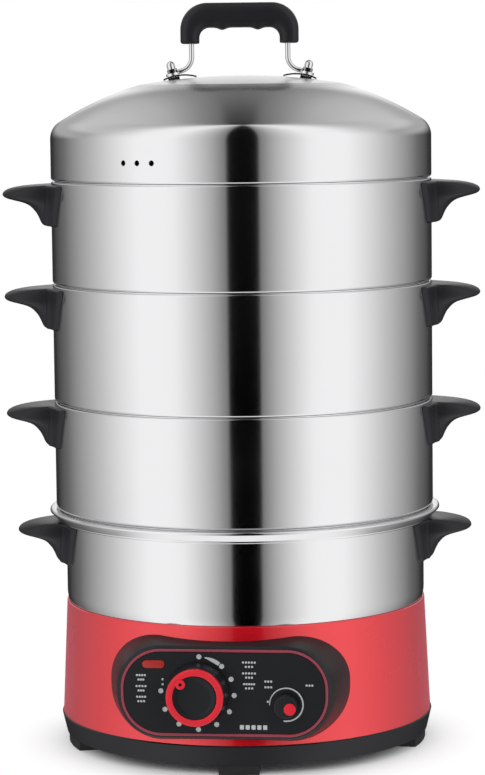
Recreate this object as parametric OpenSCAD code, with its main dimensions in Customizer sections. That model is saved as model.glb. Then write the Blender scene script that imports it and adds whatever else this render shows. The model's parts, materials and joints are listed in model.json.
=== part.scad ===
// Electric food steamer: a heated base with a water pot, three lift-off
// steaming tiers and a domed lid. Millimetres, +Z up, front towards -Y.
// The origin is the middle of the footprint, at the level of the feet.
// Heights are measured from there, radii from the axis of the stack.

/* [Steaming tiers] */
// Outside diameter of the tiers and the lid
tier_d = 300; // [260:1:340]
// Height of the lower tier, from the pot's rim to its top edge
lower_tier_h = 84.8; // [70:0.1:130]
// Height of the middle tier, seam to seam
middle_tier_h = 92.8; // [70:0.1:130]
// Height of the upper tier, seam to seam
upper_tier_h = 80.9; // [70:0.1:130]
// Thickness of the steel sheet
sheet_t = 0.8; // [0.6:0.1:1.2]
// Radius of the hem rolled round the top edge of a tier
hem_r = 1.2; // [1:0.1:1.6]
// Radius of the rounded shoulder a tier stands on
shoulder_r = 2.6; // [2:0.1:4]
// Depth by which a tier or the lid reaches into the piece below
nest_h = 8; // [5:0.5:12]
// Width of the ledge that carries a steam plate
ledge_w = 9; // [6:0.5:14]
// Upward clearance between a seated piece and its seat
seat_gap = 0.3; // [0.2:0.05:0.5]
// Sideways clearance of a nested piece
nest_clear = 0.5; // [0.4:0.1:1]

/* [Steam plates] */
// Thickness of a perforated steam plate
plate_t = 1; // [0.8:0.1:2]
// Diameter of a steam hole
steam_hole_d = 6; // [4:0.5:8]
// Rings of steam holes round the middle hole
steam_rings = 5; // [3:1:6]

/* [Lid] */
// Height of the lid's wall, up to the corner with its cone
lid_wall_h = 41.8; // [30:0.1:55]
// Radius of the corner between the wall and the cone
lid_corner_r = 11; // [5:0.5:12]
// Height of the lid's cone, corner to ridge
lid_cone_h = 33; // [20:0.5:45]
// Share of the cone's height that its slope loses towards the ridge
cone_bulge_share = 0.44; // [0.2:0.01:0.6]
// Radius of the ridge round the middle of the lid
lid_ridge_r = 79; // [65:1:95]
// Height of the raised middle above the ridge
lid_crown_h = 6.5; // [4:0.1:12]
// Diameter of a vent hole in the lid wall
vent_d = 4.5; // [3:0.5:7]
// Angle between vent holes, seen from above
vent_step = 4.8; // [3:0.1:10]
// Angle from the front to the middle vent hole
vent_turn = 31.2; // [15:0.1:60]
// Height of the vent holes above the seam under the lid
vent_z = 16.7; // [10:0.1:25]

/* [Lid handle] */
// Half of the distance between the wire's upright legs
wire_x = 37.8; // [30:0.1:48]
// Diameter of the handle wire
wire_d = 4; // [3:0.1:6]
// Radius of the wire's bends
wire_bend_r = 11; // [8:0.5:16]
// Length of the grip over its ends
grip_l = 93; // [80:1:120]
// Height of the grip
grip_h = 32; // [24:0.5:44]
// Thickness of the grip's bar, from its top to its underside
grip_bar_h = 19.6; // [14:0.1:22]
// Width of the grip, front to back
grip_w = 20; // [16:0.5:26]
// Width of a grip leg, seen from the front
grip_leg_w = 15; // [12:0.5:20]
// Radius of the grip's outer corners
grip_corner_r = 21; // [12:0.5:24]
// Height of the finger bumps under the grip
grip_bump_h = 1.8; // [1:0.1:3]
// Height of the grip's ends above the ridge of the lid
grip_lift = 31.5; // [26:0.5:50]
// Distance from the lid's middle to a handle bolt
lid_bolt_x = 52; // [44:0.5:60]
// Diameter of the handle bolts
lid_bolt_d = 4; // [3:0.5:5]
// Outside diameter of the sealing spacer under a saddle
spacer_d = 9; // [7:0.5:11]
// Length of a saddle, towards the edge of the lid
saddle_l = 26; // [22:0.5:32]
// Distance from a saddle's middle out to its bolt
saddle_shift = 5; // [3:0.5:7]
// Radius of a saddle's arch
saddle_arch_r = 36; // [28:1:45]
// Width of a saddle
saddle_w = 14; // [10:0.5:18]
// Thickness of a saddle
saddle_t = 1.2; // [0.8:0.1:2]
// Width across the flats of an acorn nut
acorn_af = 7; // [6:0.5:9]
// Height of an acorn nut
acorn_h = 9.5; // [7:0.5:12]

/* [Side handles] */
// Reach of a side handle beyond its wall
handle_reach = 38.5; // [28:0.5:50]
// Height of a side handle
handle_h = 32.5; // [24:0.5:45]
// Half of the angle its flange spans at the top
flange_turn = 24; // [18:0.5:30]
// Half of the angle its flange spans at the bottom
flange_foot_turn = 18; // [14:0.5:24]
// Thickness of the flange
flange_t = 2.4; // [2:0.1:4]
// Half width of the lug
lug_half_w = 38; // [30:0.5:46]
// Drop from a tier's top edge to its handles
handle_drop = 2.2; // [1:0.1:6]
// Drop from the pot's rim to its handles
pot_handle_drop = 10.5; // [10:0.1:16]
// Diameter of a handle screw
handle_screw_d = 4; // [3:0.5:5]
// Length of a handle screw's shank
handle_screw_l = 12; // [9:0.5:16]
// Angle from the middle of a handle to each of its screws
handle_screw_turn = 8; // [5:0.5:12]

/* [Pot] */
// Inset of the pot's wall from the wall of the tiers
pot_inset = 7.6; // [6.5:0.1:20]
// Reach of the pot's rim beyond the wall of the tiers
pot_rim_out = 5; // [3:0.5:12]
// Height of the pot from its underside to its rim
pot_h = 95.2; // [80:0.1:140]
// Height of the band that hangs from the rim
pot_band_h = 7; // [5:0.1:10]
// Inward slope of the band, from the rim down
pot_band_slope = 5; // [0:0.1:5]
// Radius of the pot's bottom corner
pot_corner_r = 30; // [24:1:40]
// Depth of the pot's underside below the top of the housing
pot_sink = 21.8; // [14:0.1:24]
// Radius of the rounded edge of the pot's rim
pot_bead_r = 1.6; // [1:0.1:2.4]

/* [Base] */
// Height of the feet
foot_h = 8; // [6:0.5:14]
// Length of the front and the rear foot along the edge of the base
foot_l = 31; // [24:1:44]
// Length of a side foot along the edge of the base
side_foot_l = 58; // [36:1:70]
// Width of a foot, towards the middle
foot_w = 24; // [16:0.5:28]
// Inset of the feet from the edge of the base ring
foot_inset = 1.5; // [1:0.5:8]
// Turn of the front and the rear foot about the stack, to the left when seen from the front
foot_turn = 2.7; // [0:0.1:10]
// Angle from the front of the stack to each side foot
side_foot_turn = 79; // [70:1:110]
// Height of the black ring round the foot of the base
ring_h = 15.6; // [10:0.1:24]
// Inward slope of the ring, top to bottom
ring_slope = 3.5; // [1:0.5:8]
// Step by which the ring stands out from the housing
ring_step = 0.9; // [0.4:0.1:2]
// Height of the painted housing
housing_h = 90.2; // [80:0.1:100]
// Step of the housing's top edge outside the pot's wall
housing_top_step = 0.4; // [0.2:0.1:1]
// Outward flare of the housing, top to bottom
housing_flare = 4.3; // [2:0.1:8]
// Thickness of the housing's sheet
housing_t = 1.2; // [0.8:0.1:2]
// Wall and floor of the bottom cover
cover_t = 2.5; // [2:0.1:4]
// Number of cooling slots in the bottom cover
slot_n = 16; // [8:2:24]
// Length of a cooling slot
slot_l = 30; // [15:1:45]
// Width of a cooling slot
slot_w = 4; // [3:0.5:6]
// Diameter of the screws of the base
base_screw_d = 4; // [3:0.5:5]
// Number of pot studs
stud_n = 3; // [3:1:4]
// Diameter of a pot stud
stud_d = 6; // [5:0.5:8]
// Distance from the edge of the pot's flat floor in to a stud
stud_inset = 20.4; // [14:0.1:30]

/* [Control panel] */
// Turn of the panel about the stack, to the left when seen from the front
panel_turn = 6.5; // [0:0.5:12]
// Reach of the panel's face beyond the foot of the housing
face_out = 4.9; // [2:0.1:10]
// Height of the panel's middle above the housing's foot, as a share of the housing's height
face_share = 0.4623; // [0.42:0.0001:0.5]
// Width of the panel's face inside the trim
face_w = 152; // [140:1:160]
// Height of the panel's face inside the trim
face_h = 61.4; // [54:0.1:64]
// Radius of the face's corners
face_corner_r = 28; // [20:0.5:30]
// Thickness of the face plate
face_t = 2; // [1.5:0.1:3]
// Width of the trim line round the face
trim_w = 3.2; // [2:0.1:5]
// Step by which the trim stands proud of the face
trim_step = 0.6; // [0.3:0.1:1.5]
// Border of the bezel outside the trim
bezel_border = 1.2; // [0.8:0.1:4]
// Outward slope of the bezel per depth
bezel_slope = 0.29; // [0.1:0.01:0.4]
// Depth of the bezel behind the face
bezel_depth = 42; // [40:1:48]
// Wall of the bezel
bezel_t = 2.4; // [2:0.1:3.5]
// Distance from the face's left end to the middle of the lamp window
lamp_in = 22.6; // [18:0.1:30]
// Place of the lamp window, above the panel's middle
lamp_v = 21.4; // [16:0.1:23]
// Width of the lamp window
lamp_w = 17.5; // [10:0.5:20]
// Height of the lamp window
lamp_h = 6.5; // [4:0.5:8]
// Step by which the lamp lens stands proud of the face
lamp_step = 0.5; // [0.2:0.1:1.5]

/* [Timer] */
// Distance from the face's left end to the middle of the timer knob
timer_in = 55.8; // [50:0.1:62]
// Place of the timer knob, above the panel's middle
timer_v = -0.3; // [-4:0.1:4]
// Diameter of the knob at the panel
timer_skirt_d = 48; // [44:0.5:52]
// Diameter of the red ring on the knob
timer_ring_d = 43.5; // [36:0.5:46]
// Diameter of the black cap inside the ring
timer_cap_d = 33; // [24:0.5:36]
// Distance by which the knob stands out of the face
timer_out = 19.5; // [14:0.5:24]
// Depth of the red ring
timer_ring_t = 4; // [2:0.5:6]
// Diameter of the pointer on the ring
pointer_d = 7.5; // [5:0.5:9]
// Angle of the pointer at rest, clockwise from the top
pointer_turn = 315; // [280:1:340]
// Diameter of the timer's shaft
timer_shaft_d = 6; // [5:0.5:8]
// Width of the timer's case
timer_case_w = 44; // [36:1:48]
// Depth of the timer's case
timer_case_h = 32; // [24:1:36]

/* [Heat selector] */
// Distance from the face's right end to the middle of the selector knob
select_in = 29.1; // [22:0.1:34]
// Place of the selector knob, above the panel's middle
select_v = -8.3; // [-12:0.1:0]
// Diameter of the selector knob
select_d = 17.5; // [14:0.5:22]
// Distance by which the selector knob stands out of the face
select_out = 10; // [6:0.5:14]
// Diameter of the red dot on the selector knob
select_dot_d = 9; // [6:0.5:10]
// Distance from the selector's axis to its dot
select_dot_r = 3.8; // [2.5:0.1:4.2]
// Angle of the dot at rest, clockwise from the top
select_turn = 113; // [60:1:150]
// Diameter of the selector's shaft
select_shaft_d = 6; // [4:0.5:7]
// Diameter of the selector's body
select_case_d = 24; // [18:1:28]
// Depth of the selector's body
select_case_h = 16; // [10:1:20]

/* [Heater] */
// Distance from a pot stud to the heating plate
heat_plate_gap = 12; // [9:0.5:20]
// Thickness of the heating plate
heat_plate_t = 6; // [4:0.5:8]
// Distance from the plate's edge in to the heating element's ring
element_in = 18; // [12:0.5:28]
// Diameter of the heating element's tube
element_d = 8; // [6.5:0.5:10]
// Length of the element's cold ends
element_leg = 14; // [10:1:20]
// Angle of the gap between the cold ends
element_gap = 50; // [40:1:70]
// Diameter of the thermostat
thermostat_d = 16; // [12:1:20]
// Height of the thermostat
thermostat_h = 10; // [8:0.5:14]
// Diameter of the thermal fuse
fuse_d = 5; // [4:0.5:7]
// Length of the thermal fuse
fuse_l = 18; // [12:1:24]
// Distance from the plate's underside to the heat shield
shield_drop = 24; // [20:1:28]
// Distance from the heat shield to the timer's case
shield_gap = 8; // [4:0.5:12]
// Thickness of the heat shield
shield_t = 0.8; // [0.6:0.1:1.5]

/* [Power inlet] */
// Width of the inlet's opening
inlet_w = 24; // [20:0.5:30]
// Height of the inlet's opening
inlet_h = 16.5; // [14:0.5:22]
// Depth of the inlet's opening
inlet_depth = 16; // [12:0.5:22]
// Wall of the inlet
inlet_t = 2; // [1.5:0.1:3]
// Distance by which the inlet's flange stands out of the housing
inlet_out = 3; // [2:0.5:6]
// Spacing of the inlet's screws
inlet_screw_gap = 40; // [36:0.5:46]
// Height of the middle of the inlet
inlet_z = 52; // [46:0.5:60]
// Width of an inlet pin
pin_w = 4; // [3:0.5:5]
// Thickness of an inlet pin
pin_t = 2; // [1.5:0.1:2.5]
// Spacing of the outer inlet pins
pin_gap = 14; // [12:0.5:16]
// Diameter of the inner wires
wire_core_d = 3; // [2:0.5:4]

/* [Hidden] */
$fn = 72;

// Overrun of every cut past the face it leaves
cut = 2;
// Radial clearance of a screw or collar in its hole
hole_clear = 0.2;
// Radial clearance of a shaft in its bearing
shaft_clear = 0.05;
// Clearance between a knob and the panel
knob_gap = 0.8;
// Facets of a blended outline
blend_fn = 32;
// Steps in a drawn quarter bend
bend_n = 6;

// Colours of the pieces
steel = [0.78, 0.78, 0.80];
bright_steel = [0.88, 0.88, 0.90];
red_paint = [0.80, 0.18, 0.22];
bright_red = [0.80, 0.05, 0.10];
trim_red = [0.55, 0.20, 0.27];
lens_red = [0.65, 0.15, 0.14];
black_plastic = [0.13, 0.13, 0.14];
panel_black = [0.12, 0.13, 0.14];
bezel_grey = [0.18, 0.20, 0.20];
aluminium = [0.75, 0.76, 0.78];
ceramic = [0.90, 0.88, 0.82];
rubber_black = [0.08, 0.08, 0.08];
wire_brown = [0.40, 0.22, 0.12];
lamp_glass = [0.90, 0.60, 0.40];

// Radii of the stack
tier_r = tier_d / 2;
pot_r = tier_r - pot_inset;
pot_rim_r = tier_r + pot_rim_out;
skirt_r = tier_r - max(2 * hem_r + nest_clear, shoulder_r);
mouth_r = skirt_r + nest_clear;

// Heights of the stack
housing_z = foot_h + ring_h;
housing_top_z = housing_z + housing_h;
face_z = housing_z + face_share * housing_h;
pot_floor_z = housing_top_z - pot_sink;
pot_rim_z = pot_floor_z + pot_h;
pot_ledge_z = pot_rim_z - nest_h - seat_gap;
lower_z = pot_rim_z;
middle_z = lower_z + lower_tier_h;
upper_z = middle_z + middle_tier_h;
lid_z = upper_z + upper_tier_h;

// Radii of the base
housing_top_r = pot_r + housing_top_step;
housing_foot_r = housing_top_r + housing_flare;
ring_top_r = housing_foot_r + ring_step;
ring_foot_r = ring_top_r - ring_slope;
foot_r = ring_foot_r - foot_inset;
foot_turns = [-foot_turn, side_foot_turn, 180 - foot_turn, -side_foot_turn];
foot_lengths = [foot_l, side_foot_l, foot_l, side_foot_l];

// Places on the panel, right of its middle
face_d = housing_foot_r + face_out;
lamp_u = lamp_in - face_w / 2;
timer_u = timer_in - face_w / 2;
select_u = face_w / 2 - select_in;

// Radii of the heater
stud_r = pot_r - pot_corner_r - stud_inset;
heat_plate_r = stud_r - heat_plate_gap;
element_r = heat_plate_r - element_in;
shield_r = face_d - face_t - timer_case_h - shield_gap;

// Radius of the housing's outside at a height
function housing_r(z) =
    housing_foot_r - housing_flare * (z - housing_z) / housing_h;

// Radius of the pot's outside at a height within its bottom corner
function pot_corner_at(z) =
    pot_r - pot_corner_r + sqrt(pow(pot_corner_r, 2) - pow(max(pot_floor_z + pot_corner_r - z, 0), 2));

// Point at an angle on a circle
function on_circle(centre, r, a) = centre + r * [cos(a), sin(a)];

// Points along an arc, ends included
function arc(centre, r, from, to, n = bend_n) =
    [for (i = [0:n]) on_circle(centre, r, from + (to - from) * i / n)];

// Reach of a knob's front edge ahead of the stack's axis
function knob_reach(u, out, r) = (face_d + out) * cos(panel_turn) + (u + r) * sin(panel_turn);

// The stack's axis lies behind the middle of the footprint, which the knobs widen at the front
pointer_t = 1;
pointer_r = (timer_cap_d - pointer_d / 2) / 2;
select_dot_t = 0.8;
front_reach = max(
    pot_rim_r,
    knob_reach(timer_u, timer_out, timer_ring_d / 2),
    knob_reach(timer_u + pointer_r * sin(pointer_turn), timer_out + pointer_t, pointer_d / 2),
    knob_reach(select_u, select_out, select_d / 2),
    knob_reach(select_u + select_dot_r * sin(select_turn), select_out + select_dot_t, select_dot_d / 2)
);
stack_y = (front_reach - pot_rim_r) / 2;

// Moves what is drawn round the stack's axis to its place over the footprint
module on_stack() { translate([0, stack_y, 0]) children(); }

// Turns an x-z drawing of a wall into a ring round the stack's axis
module turned(points) { rotate_extrude($fn = 180) polygon(points); }

// Rectangle with round corners, round its own middle
module rounded_rect(w, h, r) {
    offset(r = r, $fn = blend_fn) square([w - 2 * r, h - 2 * r], center = true);
}

// Slab with round corners made of exact faces
module rounded_slab(w, h, r, t) {
    rows = h > 2 * r ? [-1, 1] : [0];
    for (x = [-1, 1], y = rows)
        translate([x * (w / 2 - r), y * (h / 2 - r), 0]) cylinder(r = r, h = t);
    if (h > 2 * r) translate([-w / 2, r - h / 2, 0]) cube([w, h - 2 * r, t]);
    translate([r - w / 2, -h / 2, 0]) cube([w - 2 * r, h, t]);
}

// Places a drawing on the panel: x to the right, y up and z out of its face
module on_panel(u = 0, v = 0, out = 0) {
    rotate([0, 0, -panel_turn]) translate([u, -face_d - out, face_z + v]) rotate([90, 0, 0]) children();
}

// The same place as a point, seen from the stack's axis
function panel_point(u, v, out) = [
    u * cos(panel_turn) - (face_d + out) * sin(panel_turn),
    -u * sin(panel_turn) - (face_d + out) * cos(panel_turn),
    face_z + v
];

// BASE
// Floor and lip of the bottom cover
cover_floor_z = foot_h + cover_t;
cover_lip_h = 6;
cover_lip_r = housing_r(housing_z + cover_lip_h) - housing_t - seat_gap;
// Cooling slots, inside the studs, and the screw bosses
slot_in = 30;
slot_r = stud_r - slot_in;
boss_r = 5;
boss_h = 9;
// Screws of the feet and holes of the studs
base_screw_r = base_screw_d / 2;
foot_mid_r = foot_r - foot_w / 2;
screw_head_h = 2.2;
screw_head_r = base_screw_d;
foot_screw_sink = 1;
foot_screw_l = foot_h + cover_t + boss_h - screw_head_h - 2 * foot_screw_sink;
stud_turn = 360 / stud_n;
stud_hole_r = stud_d / 2 + hole_clear;

// Tray under the housing, with its black ring, cooling slots and screw bosses
module bottom_cover() on_stack() color(black_plastic) difference() {
    union() {
        turned([
            [0, foot_h], [ring_foot_r, foot_h], [ring_top_r, housing_z - ring_step],
            [ring_top_r - ring_step, housing_z], [cover_lip_r, housing_z],
            [cover_lip_r, housing_z + cover_lip_h],
            [cover_lip_r - cover_t, housing_z + cover_lip_h],
            [ring_foot_r - 2 * cover_t, cover_floor_z], [0, cover_floor_z]
        ]);
        for (turn = foot_turns)
            rotate(turn - 90) translate([foot_mid_r, 0, foot_h + cover_t / 2])
                cylinder(r = boss_r, h = cover_t / 2 + boss_h);
    }
    for (turn = foot_turns)
        rotate(turn - 90) translate([foot_mid_r, 0, foot_h - cut])
            cylinder(r = base_screw_r + hole_clear, h = cover_t + boss_h + 2 * cut);
    for (i = [0:slot_n - 1])
        rotate((i + 0.5) * 360 / slot_n) translate([slot_r - slot_l / 2, -slot_w / 2, foot_h - cut])
            cube([slot_l, slot_w, cover_t + 2 * cut]);
    at_studs() translate([0, 0, foot_h - cut]) cylinder(r = stud_hole_r, h = cover_t + 2 * cut);
}

// Repeats a drawing at each pot stud
module at_studs() {
    for (i = [0:stud_n - 1]) rotate(90 + stud_turn / 2 + i * stud_turn) translate([stud_r, 0, 0]) children();
}

// Four rubber feet under the ring, each with a recess for its screw
module feet() on_stack() color(rubber_black) for (i = [0:3]) rotate(foot_turns[i] - 90) difference() {
    intersection() {
        cylinder(r = foot_r, h = foot_h, $fn = 180);
        translate([foot_r - foot_w, -foot_lengths[i] / 2, 0]) cube([foot_w, foot_lengths[i], foot_h]);
    }
    translate([foot_mid_r, 0, -cut]) cylinder(r = base_screw_r + hole_clear, h = foot_h + 2 * cut);
    translate([foot_mid_r, 0, -cut])
        cylinder(r = screw_head_r + hole_clear, h = cut + screw_head_h + foot_screw_sink);
}

// Screws that hold the feet to the bottom cover
module foot_screws() on_stack() color(bright_steel) for (turn = foot_turns)
    rotate(turn - 90) translate([foot_mid_r, 0, foot_screw_sink]) {
        cylinder(r = screw_head_r, h = screw_head_h);
        cylinder(r = base_screw_r, h = screw_head_h + foot_screw_l);
    }

// Inner edge of the housing's top, resting against the pot
housing_lip_r = pot_corner_at(housing_top_z) + seat_gap;
lip_step = housing_top_r - housing_lip_r;
// Case and flange of the inlet
inlet_back_y = housing_r(inlet_z);
inlet_case_w = inlet_w + 2 * inlet_t;
inlet_case_h = inlet_h + 2 * inlet_t;
inlet_flange_w = inlet_screw_gap + 3 * screw_head_r;
inlet_screw_r = 1.5;
// Window in the housing behind the panel
window_lip = 2;
window_w = face_w - 2 * window_lip;
window_h = face_h - 2 * window_lip;
window_r = face_corner_r - window_lip;

// Painted shell of the base, open to the panel in front and the inlet behind
module housing() on_stack() color(red_paint) difference() {
    turned(concat(
        [[housing_foot_r - housing_t, housing_z], [housing_foot_r, housing_z]],
        arc([housing_top_r - lip_step, housing_top_z - lip_step], lip_step, 0, 90),
        [
            [housing_lip_r, housing_top_z - housing_t],
            [housing_top_r - housing_t, housing_top_z - lip_step - housing_t]
        ]
    ));
    on_panel(0, 0, -bezel_depth) rounded_slab(window_w, window_h, window_r, bezel_depth);
    translate([0, inlet_back_y, inlet_z])
        cube([inlet_case_w + nest_clear, inlet_case_w, inlet_case_h + nest_clear], center = true);
    for (side = [-1, 1]) translate([side * inlet_screw_gap / 2, inlet_back_y, inlet_z])
        rotate([90, 0, 0]) cylinder(r = inlet_screw_r + hole_clear, h = inlet_case_w, center = true);
}

// Solid inside the housing's cone, carried on past its foot and its top
module housing_outside() {
    cylinder(r1 = housing_r(0), r2 = housing_top_r, h = housing_top_z, $fn = 180);
    translate([0, 0, housing_top_z]) cylinder(r = housing_lip_r, h = ring_h);
}

// PANEL
// Outline of the bezel and of the trim
trim_r = face_corner_r + trim_w;
bezel_w = face_w + 2 * (trim_w + bezel_border);
bezel_h = face_h + 2 * (trim_w + bezel_border);
bezel_r = trim_r + bezel_border;
bezel_grow = bezel_slope * bezel_depth;
bezel_rim_h = face_t + bezel_t;
// Thickness of the slabs a blend is drawn between
edge_t = 0.4;

// Outline that widens towards the housing, drawn from a front slab to a rear one
module bezel_body(inset, front) {
    grow = bezel_grow - inset;
    hull() {
        translate([0, 0, front - edge_t]) linear_extrude(edge_t)
            rounded_rect(bezel_w - 2 * inset, bezel_h - 2 * inset, bezel_r - inset);
        translate([0, 0, -bezel_depth]) linear_extrude(edge_t)
            rounded_rect(bezel_w + 2 * grow, bezel_h + 2 * grow, bezel_r + grow);
    }
}

// Moulded frame that carries the panel in front of the curved housing
module panel_bezel() on_stack() color(bezel_grey) difference() {
    on_panel() difference() {
        bezel_body(0, 0);
        bezel_body(bezel_t, -bezel_rim_h);
        translate([0, 0, -face_t])
            rounded_slab(face_w + 2 * trim_w, face_h + 2 * trim_w, trim_r, face_t + cut);
        translate([0, 0, -bezel_depth]) rounded_slab(window_w, window_h, window_r, bezel_depth);
    }
    housing_outside();
}

// Red line set into the bezel round the face
module panel_trim() on_stack() color(trim_red) on_panel(0, 0, -face_t) difference() {
    rounded_slab(face_w + 2 * trim_w, face_h + 2 * trim_w, trim_r, face_t + trim_step);
    translate([0, 0, -cut]) rounded_slab(face_w, face_h, face_corner_r, face_t + trim_step + 2 * cut);
}

// Collars and depths of the two shafts behind the face
collar_wall = 2;
timer_collar_r = timer_shaft_d / 2 + collar_wall;
select_collar_r = select_shaft_d / 2 + collar_wall;
timer_shaft_in = 18;
select_shaft_in = 10;

// Black face plate, bored for the timer, the selector and the lamp window
module panel_face() on_stack() color(panel_black) difference() {
    on_panel(0, 0, -face_t) rounded_slab(face_w, face_h, face_corner_r, face_t);
    on_panel(timer_u, timer_v, -face_t - cut) cylinder(r = timer_collar_r + hole_clear, h = face_t + 2 * cut);
    on_panel(select_u, select_v, -face_t - cut)
        cylinder(r = select_collar_r + hole_clear, h = face_t + 2 * cut);
    on_panel(lamp_u, lamp_v, -face_t - cut) rounded_slab(lamp_w, lamp_h, lamp_h / 2, face_t + 2 * cut);
}

// Border and thickness of the lens's flange
lens_flange = 1.5;

// Red window of the pilot lamp, held by a flange behind the face plate
module lamp_lens() on_stack() color(lens_red) {
    on_panel(lamp_u, lamp_v, -face_t)
        rounded_slab(lamp_w - nest_clear, lamp_h - nest_clear, (lamp_h - nest_clear) / 2, face_t + lamp_step);
    on_panel(lamp_u, lamp_v, -face_t - lens_flange)
        rounded_slab(lamp_w + lens_flange, lamp_h + lens_flange, (lamp_h + lens_flange) / 2, lens_flange);
}

// Glass tube of the lamp
neon_r = 2.5;
neon_l = 14;

// Neon pilot lamp behind the lens
module neon_lamp() on_stack() color(lamp_glass)
    on_panel(lamp_u - neon_l / 2, lamp_v, -face_t - lens_flange - neon_r) rotate([0, 90, 0]) {
        cylinder(r = neon_r, h = neon_l - neon_r);
        translate([0, 0, neon_l - neon_r]) sphere(r = neon_r);
    }

// Clockwork case of the timer, with the collar its shaft turns in
module timer_case() on_stack() color(aluminium) on_panel(timer_u, timer_v, -face_t) difference() {
    union() {
        translate([-timer_case_w / 2, -timer_case_w / 2, -timer_case_h])
            cube([timer_case_w, timer_case_w, timer_case_h]);
        cylinder(r = timer_collar_r, h = face_t);
    }
    translate([0, 0, face_t - timer_shaft_in])
        cylinder(r = timer_shaft_d / 2 + shaft_clear, h = timer_shaft_in + cut);
}

// Body of the heat selector, with the collar its shaft turns in
module selector_case() on_stack() color(ceramic) on_panel(select_u, select_v, -face_t) difference() {
    union() {
        translate([0, 0, -select_case_h]) cylinder(r = select_case_d / 2, h = select_case_h);
        cylinder(r = select_collar_r, h = face_t);
    }
    translate([0, 0, face_t - select_shaft_in])
        cylinder(r = select_shaft_d / 2 + shaft_clear, h = select_shaft_in + cut);
}

// KNOBS
// Depth of the sockets for the shafts
timer_socket = 12;
select_socket = 6;
// Diameter of the timer knob just behind its ring
timer_drum_d = timer_ring_d - 2 * edge_t;

// Black body of the timer knob, with a seat for the ring and a blind socket for the shaft
module timer_knob() on_stack() color(black_plastic) on_panel(timer_u, timer_v) difference() {
    translate([0, 0, knob_gap])
        cylinder(r1 = timer_skirt_d / 2, r2 = timer_drum_d / 2, h = timer_out - timer_ring_t - knob_gap);
    translate([0, 0, knob_gap - cut]) cylinder(r = timer_shaft_d / 2, h = timer_socket + cut);
}

// Red ring on the front of the timer knob
module timer_ring() on_stack() color(bright_red)
    on_panel(timer_u, timer_v, timer_out - timer_ring_t) difference() {
        cylinder(r = timer_ring_d / 2, h = timer_ring_t);
        translate([0, 0, -cut]) cylinder(r = timer_cap_d / 2, h = timer_ring_t + 2 * cut);
    }

// Black cap inside the ring
module timer_cap() on_stack() color(black_plastic) on_panel(timer_u, timer_v, timer_out - timer_ring_t)
    cylinder(r = timer_cap_d / 2 - shaft_clear, h = timer_ring_t);

// Radius of the pointer's eye
pointer_eye_r = 1.3;

// Red pointer tab across the ring and the cap, with a dark eye sunk in it
module timer_pointer() on_stack() color(bright_red)
    on_panel(timer_u, timer_v, timer_out) rotate(-pointer_turn) translate([0, pointer_r, 0]) difference() {
        cylinder(r = pointer_d / 2, h = pointer_t);
        translate([0, 0, pointer_t / 2]) cylinder(r = pointer_eye_r, h = pointer_t);
    }

// Timer shaft, from the clockwork into the knob
module timer_shaft() on_stack() color(bright_steel) on_panel(timer_u, timer_v, -timer_shaft_in + seat_gap)
    cylinder(r = timer_shaft_d / 2, h = timer_shaft_in - seat_gap + knob_gap + timer_socket);

// Black knob of the heat selector
module selector_knob() on_stack() color(black_plastic) on_panel(select_u, select_v) difference() {
    translate([0, 0, knob_gap]) cylinder(r = select_d / 2, h = select_out - knob_gap);
    translate([0, 0, knob_gap - cut]) cylinder(r = select_shaft_d / 2, h = select_socket + cut);
}

// Red dot on the selector knob
module selector_dot() on_stack() color(bright_red) on_panel(select_u, select_v, select_out) rotate(-select_turn)
    translate([0, select_dot_r, 0]) cylinder(r = select_dot_d / 2, h = select_dot_t);

// Selector shaft, from its body into the knob
module selector_shaft() on_stack() color(bright_steel) on_panel(select_u, select_v, -select_shaft_in + seat_gap)
    cylinder(r = select_shaft_d / 2, h = select_shaft_in - seat_gap + knob_gap + select_socket);

// POT
pot_inner_floor_z = pot_floor_z + sheet_t;
pot_band_r = pot_rim_r - min(pot_band_slope, pot_rim_r - mouth_r - 3 * sheet_t);

// Deep-drawn water pot with a stepped mouth and a rolled rim
module pot() on_stack() color(steel) difference() {
    turned(concat(
        [[0, pot_floor_z]],
        arc([pot_r - pot_corner_r, pot_floor_z + pot_corner_r], pot_corner_r, -90, 0, 2 * bend_n),
        [
            [pot_r, pot_ledge_z - sheet_t], [mouth_r + sheet_t, pot_ledge_z - sheet_t],
            [mouth_r + sheet_t, pot_rim_z - sheet_t], [pot_rim_r - sheet_t, pot_rim_z - sheet_t],
            [pot_band_r - sheet_t, pot_rim_z - pot_band_h], [pot_band_r, pot_rim_z - pot_band_h]
        ],
        arc([pot_rim_r - pot_bead_r, pot_rim_z - pot_bead_r], pot_bead_r, 0, 90),
        [[mouth_r, pot_rim_z], [mouth_r, pot_ledge_z], [pot_r - sheet_t, pot_ledge_z]],
        arc([pot_r - pot_corner_r, pot_floor_z + pot_corner_r], pot_corner_r - sheet_t, 0, -90, 2 * bend_n),
        [[0, pot_inner_floor_z]]
    ));
    handle_screw_holes(pot_r, pot_rim_z - pot_handle_drop);
}

// SIDE HANDLES
// Screws of the side handles
handle_screw_r = handle_screw_d / 2;
handle_screw_drop = 0.42 * handle_h;
// Outline of the lug from the side: shares of the reach and of the height
lug_top_shares = [[0, 0], [0.36, -0.01], [0.6, -0.03], [0.77, -0.065], [0.89, -0.11], [0.96, -0.16]];
lug_tip_shares = [[1, -0.22], [0.96, -0.29], [0.91, -0.33], [0.77, -0.385]];
lug_under_shares = [[0.6, -0.43], [0.48, -0.5], [0.36, -0.6], [0.3, -0.68], [0.25, -0.8]];
lug_foot_shares = [[0.22, -0.92], [0.19, -0.97], [0.15, -1], [0, -1]];
lug_shares = concat(lug_top_shares, lug_tip_shares, lug_under_shares, lug_foot_shares);
// Steps round the lug's plan, and the depth it is drawn from behind the wall's face
lug_plan_n = 24;
lug_plan_in = 6;

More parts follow.
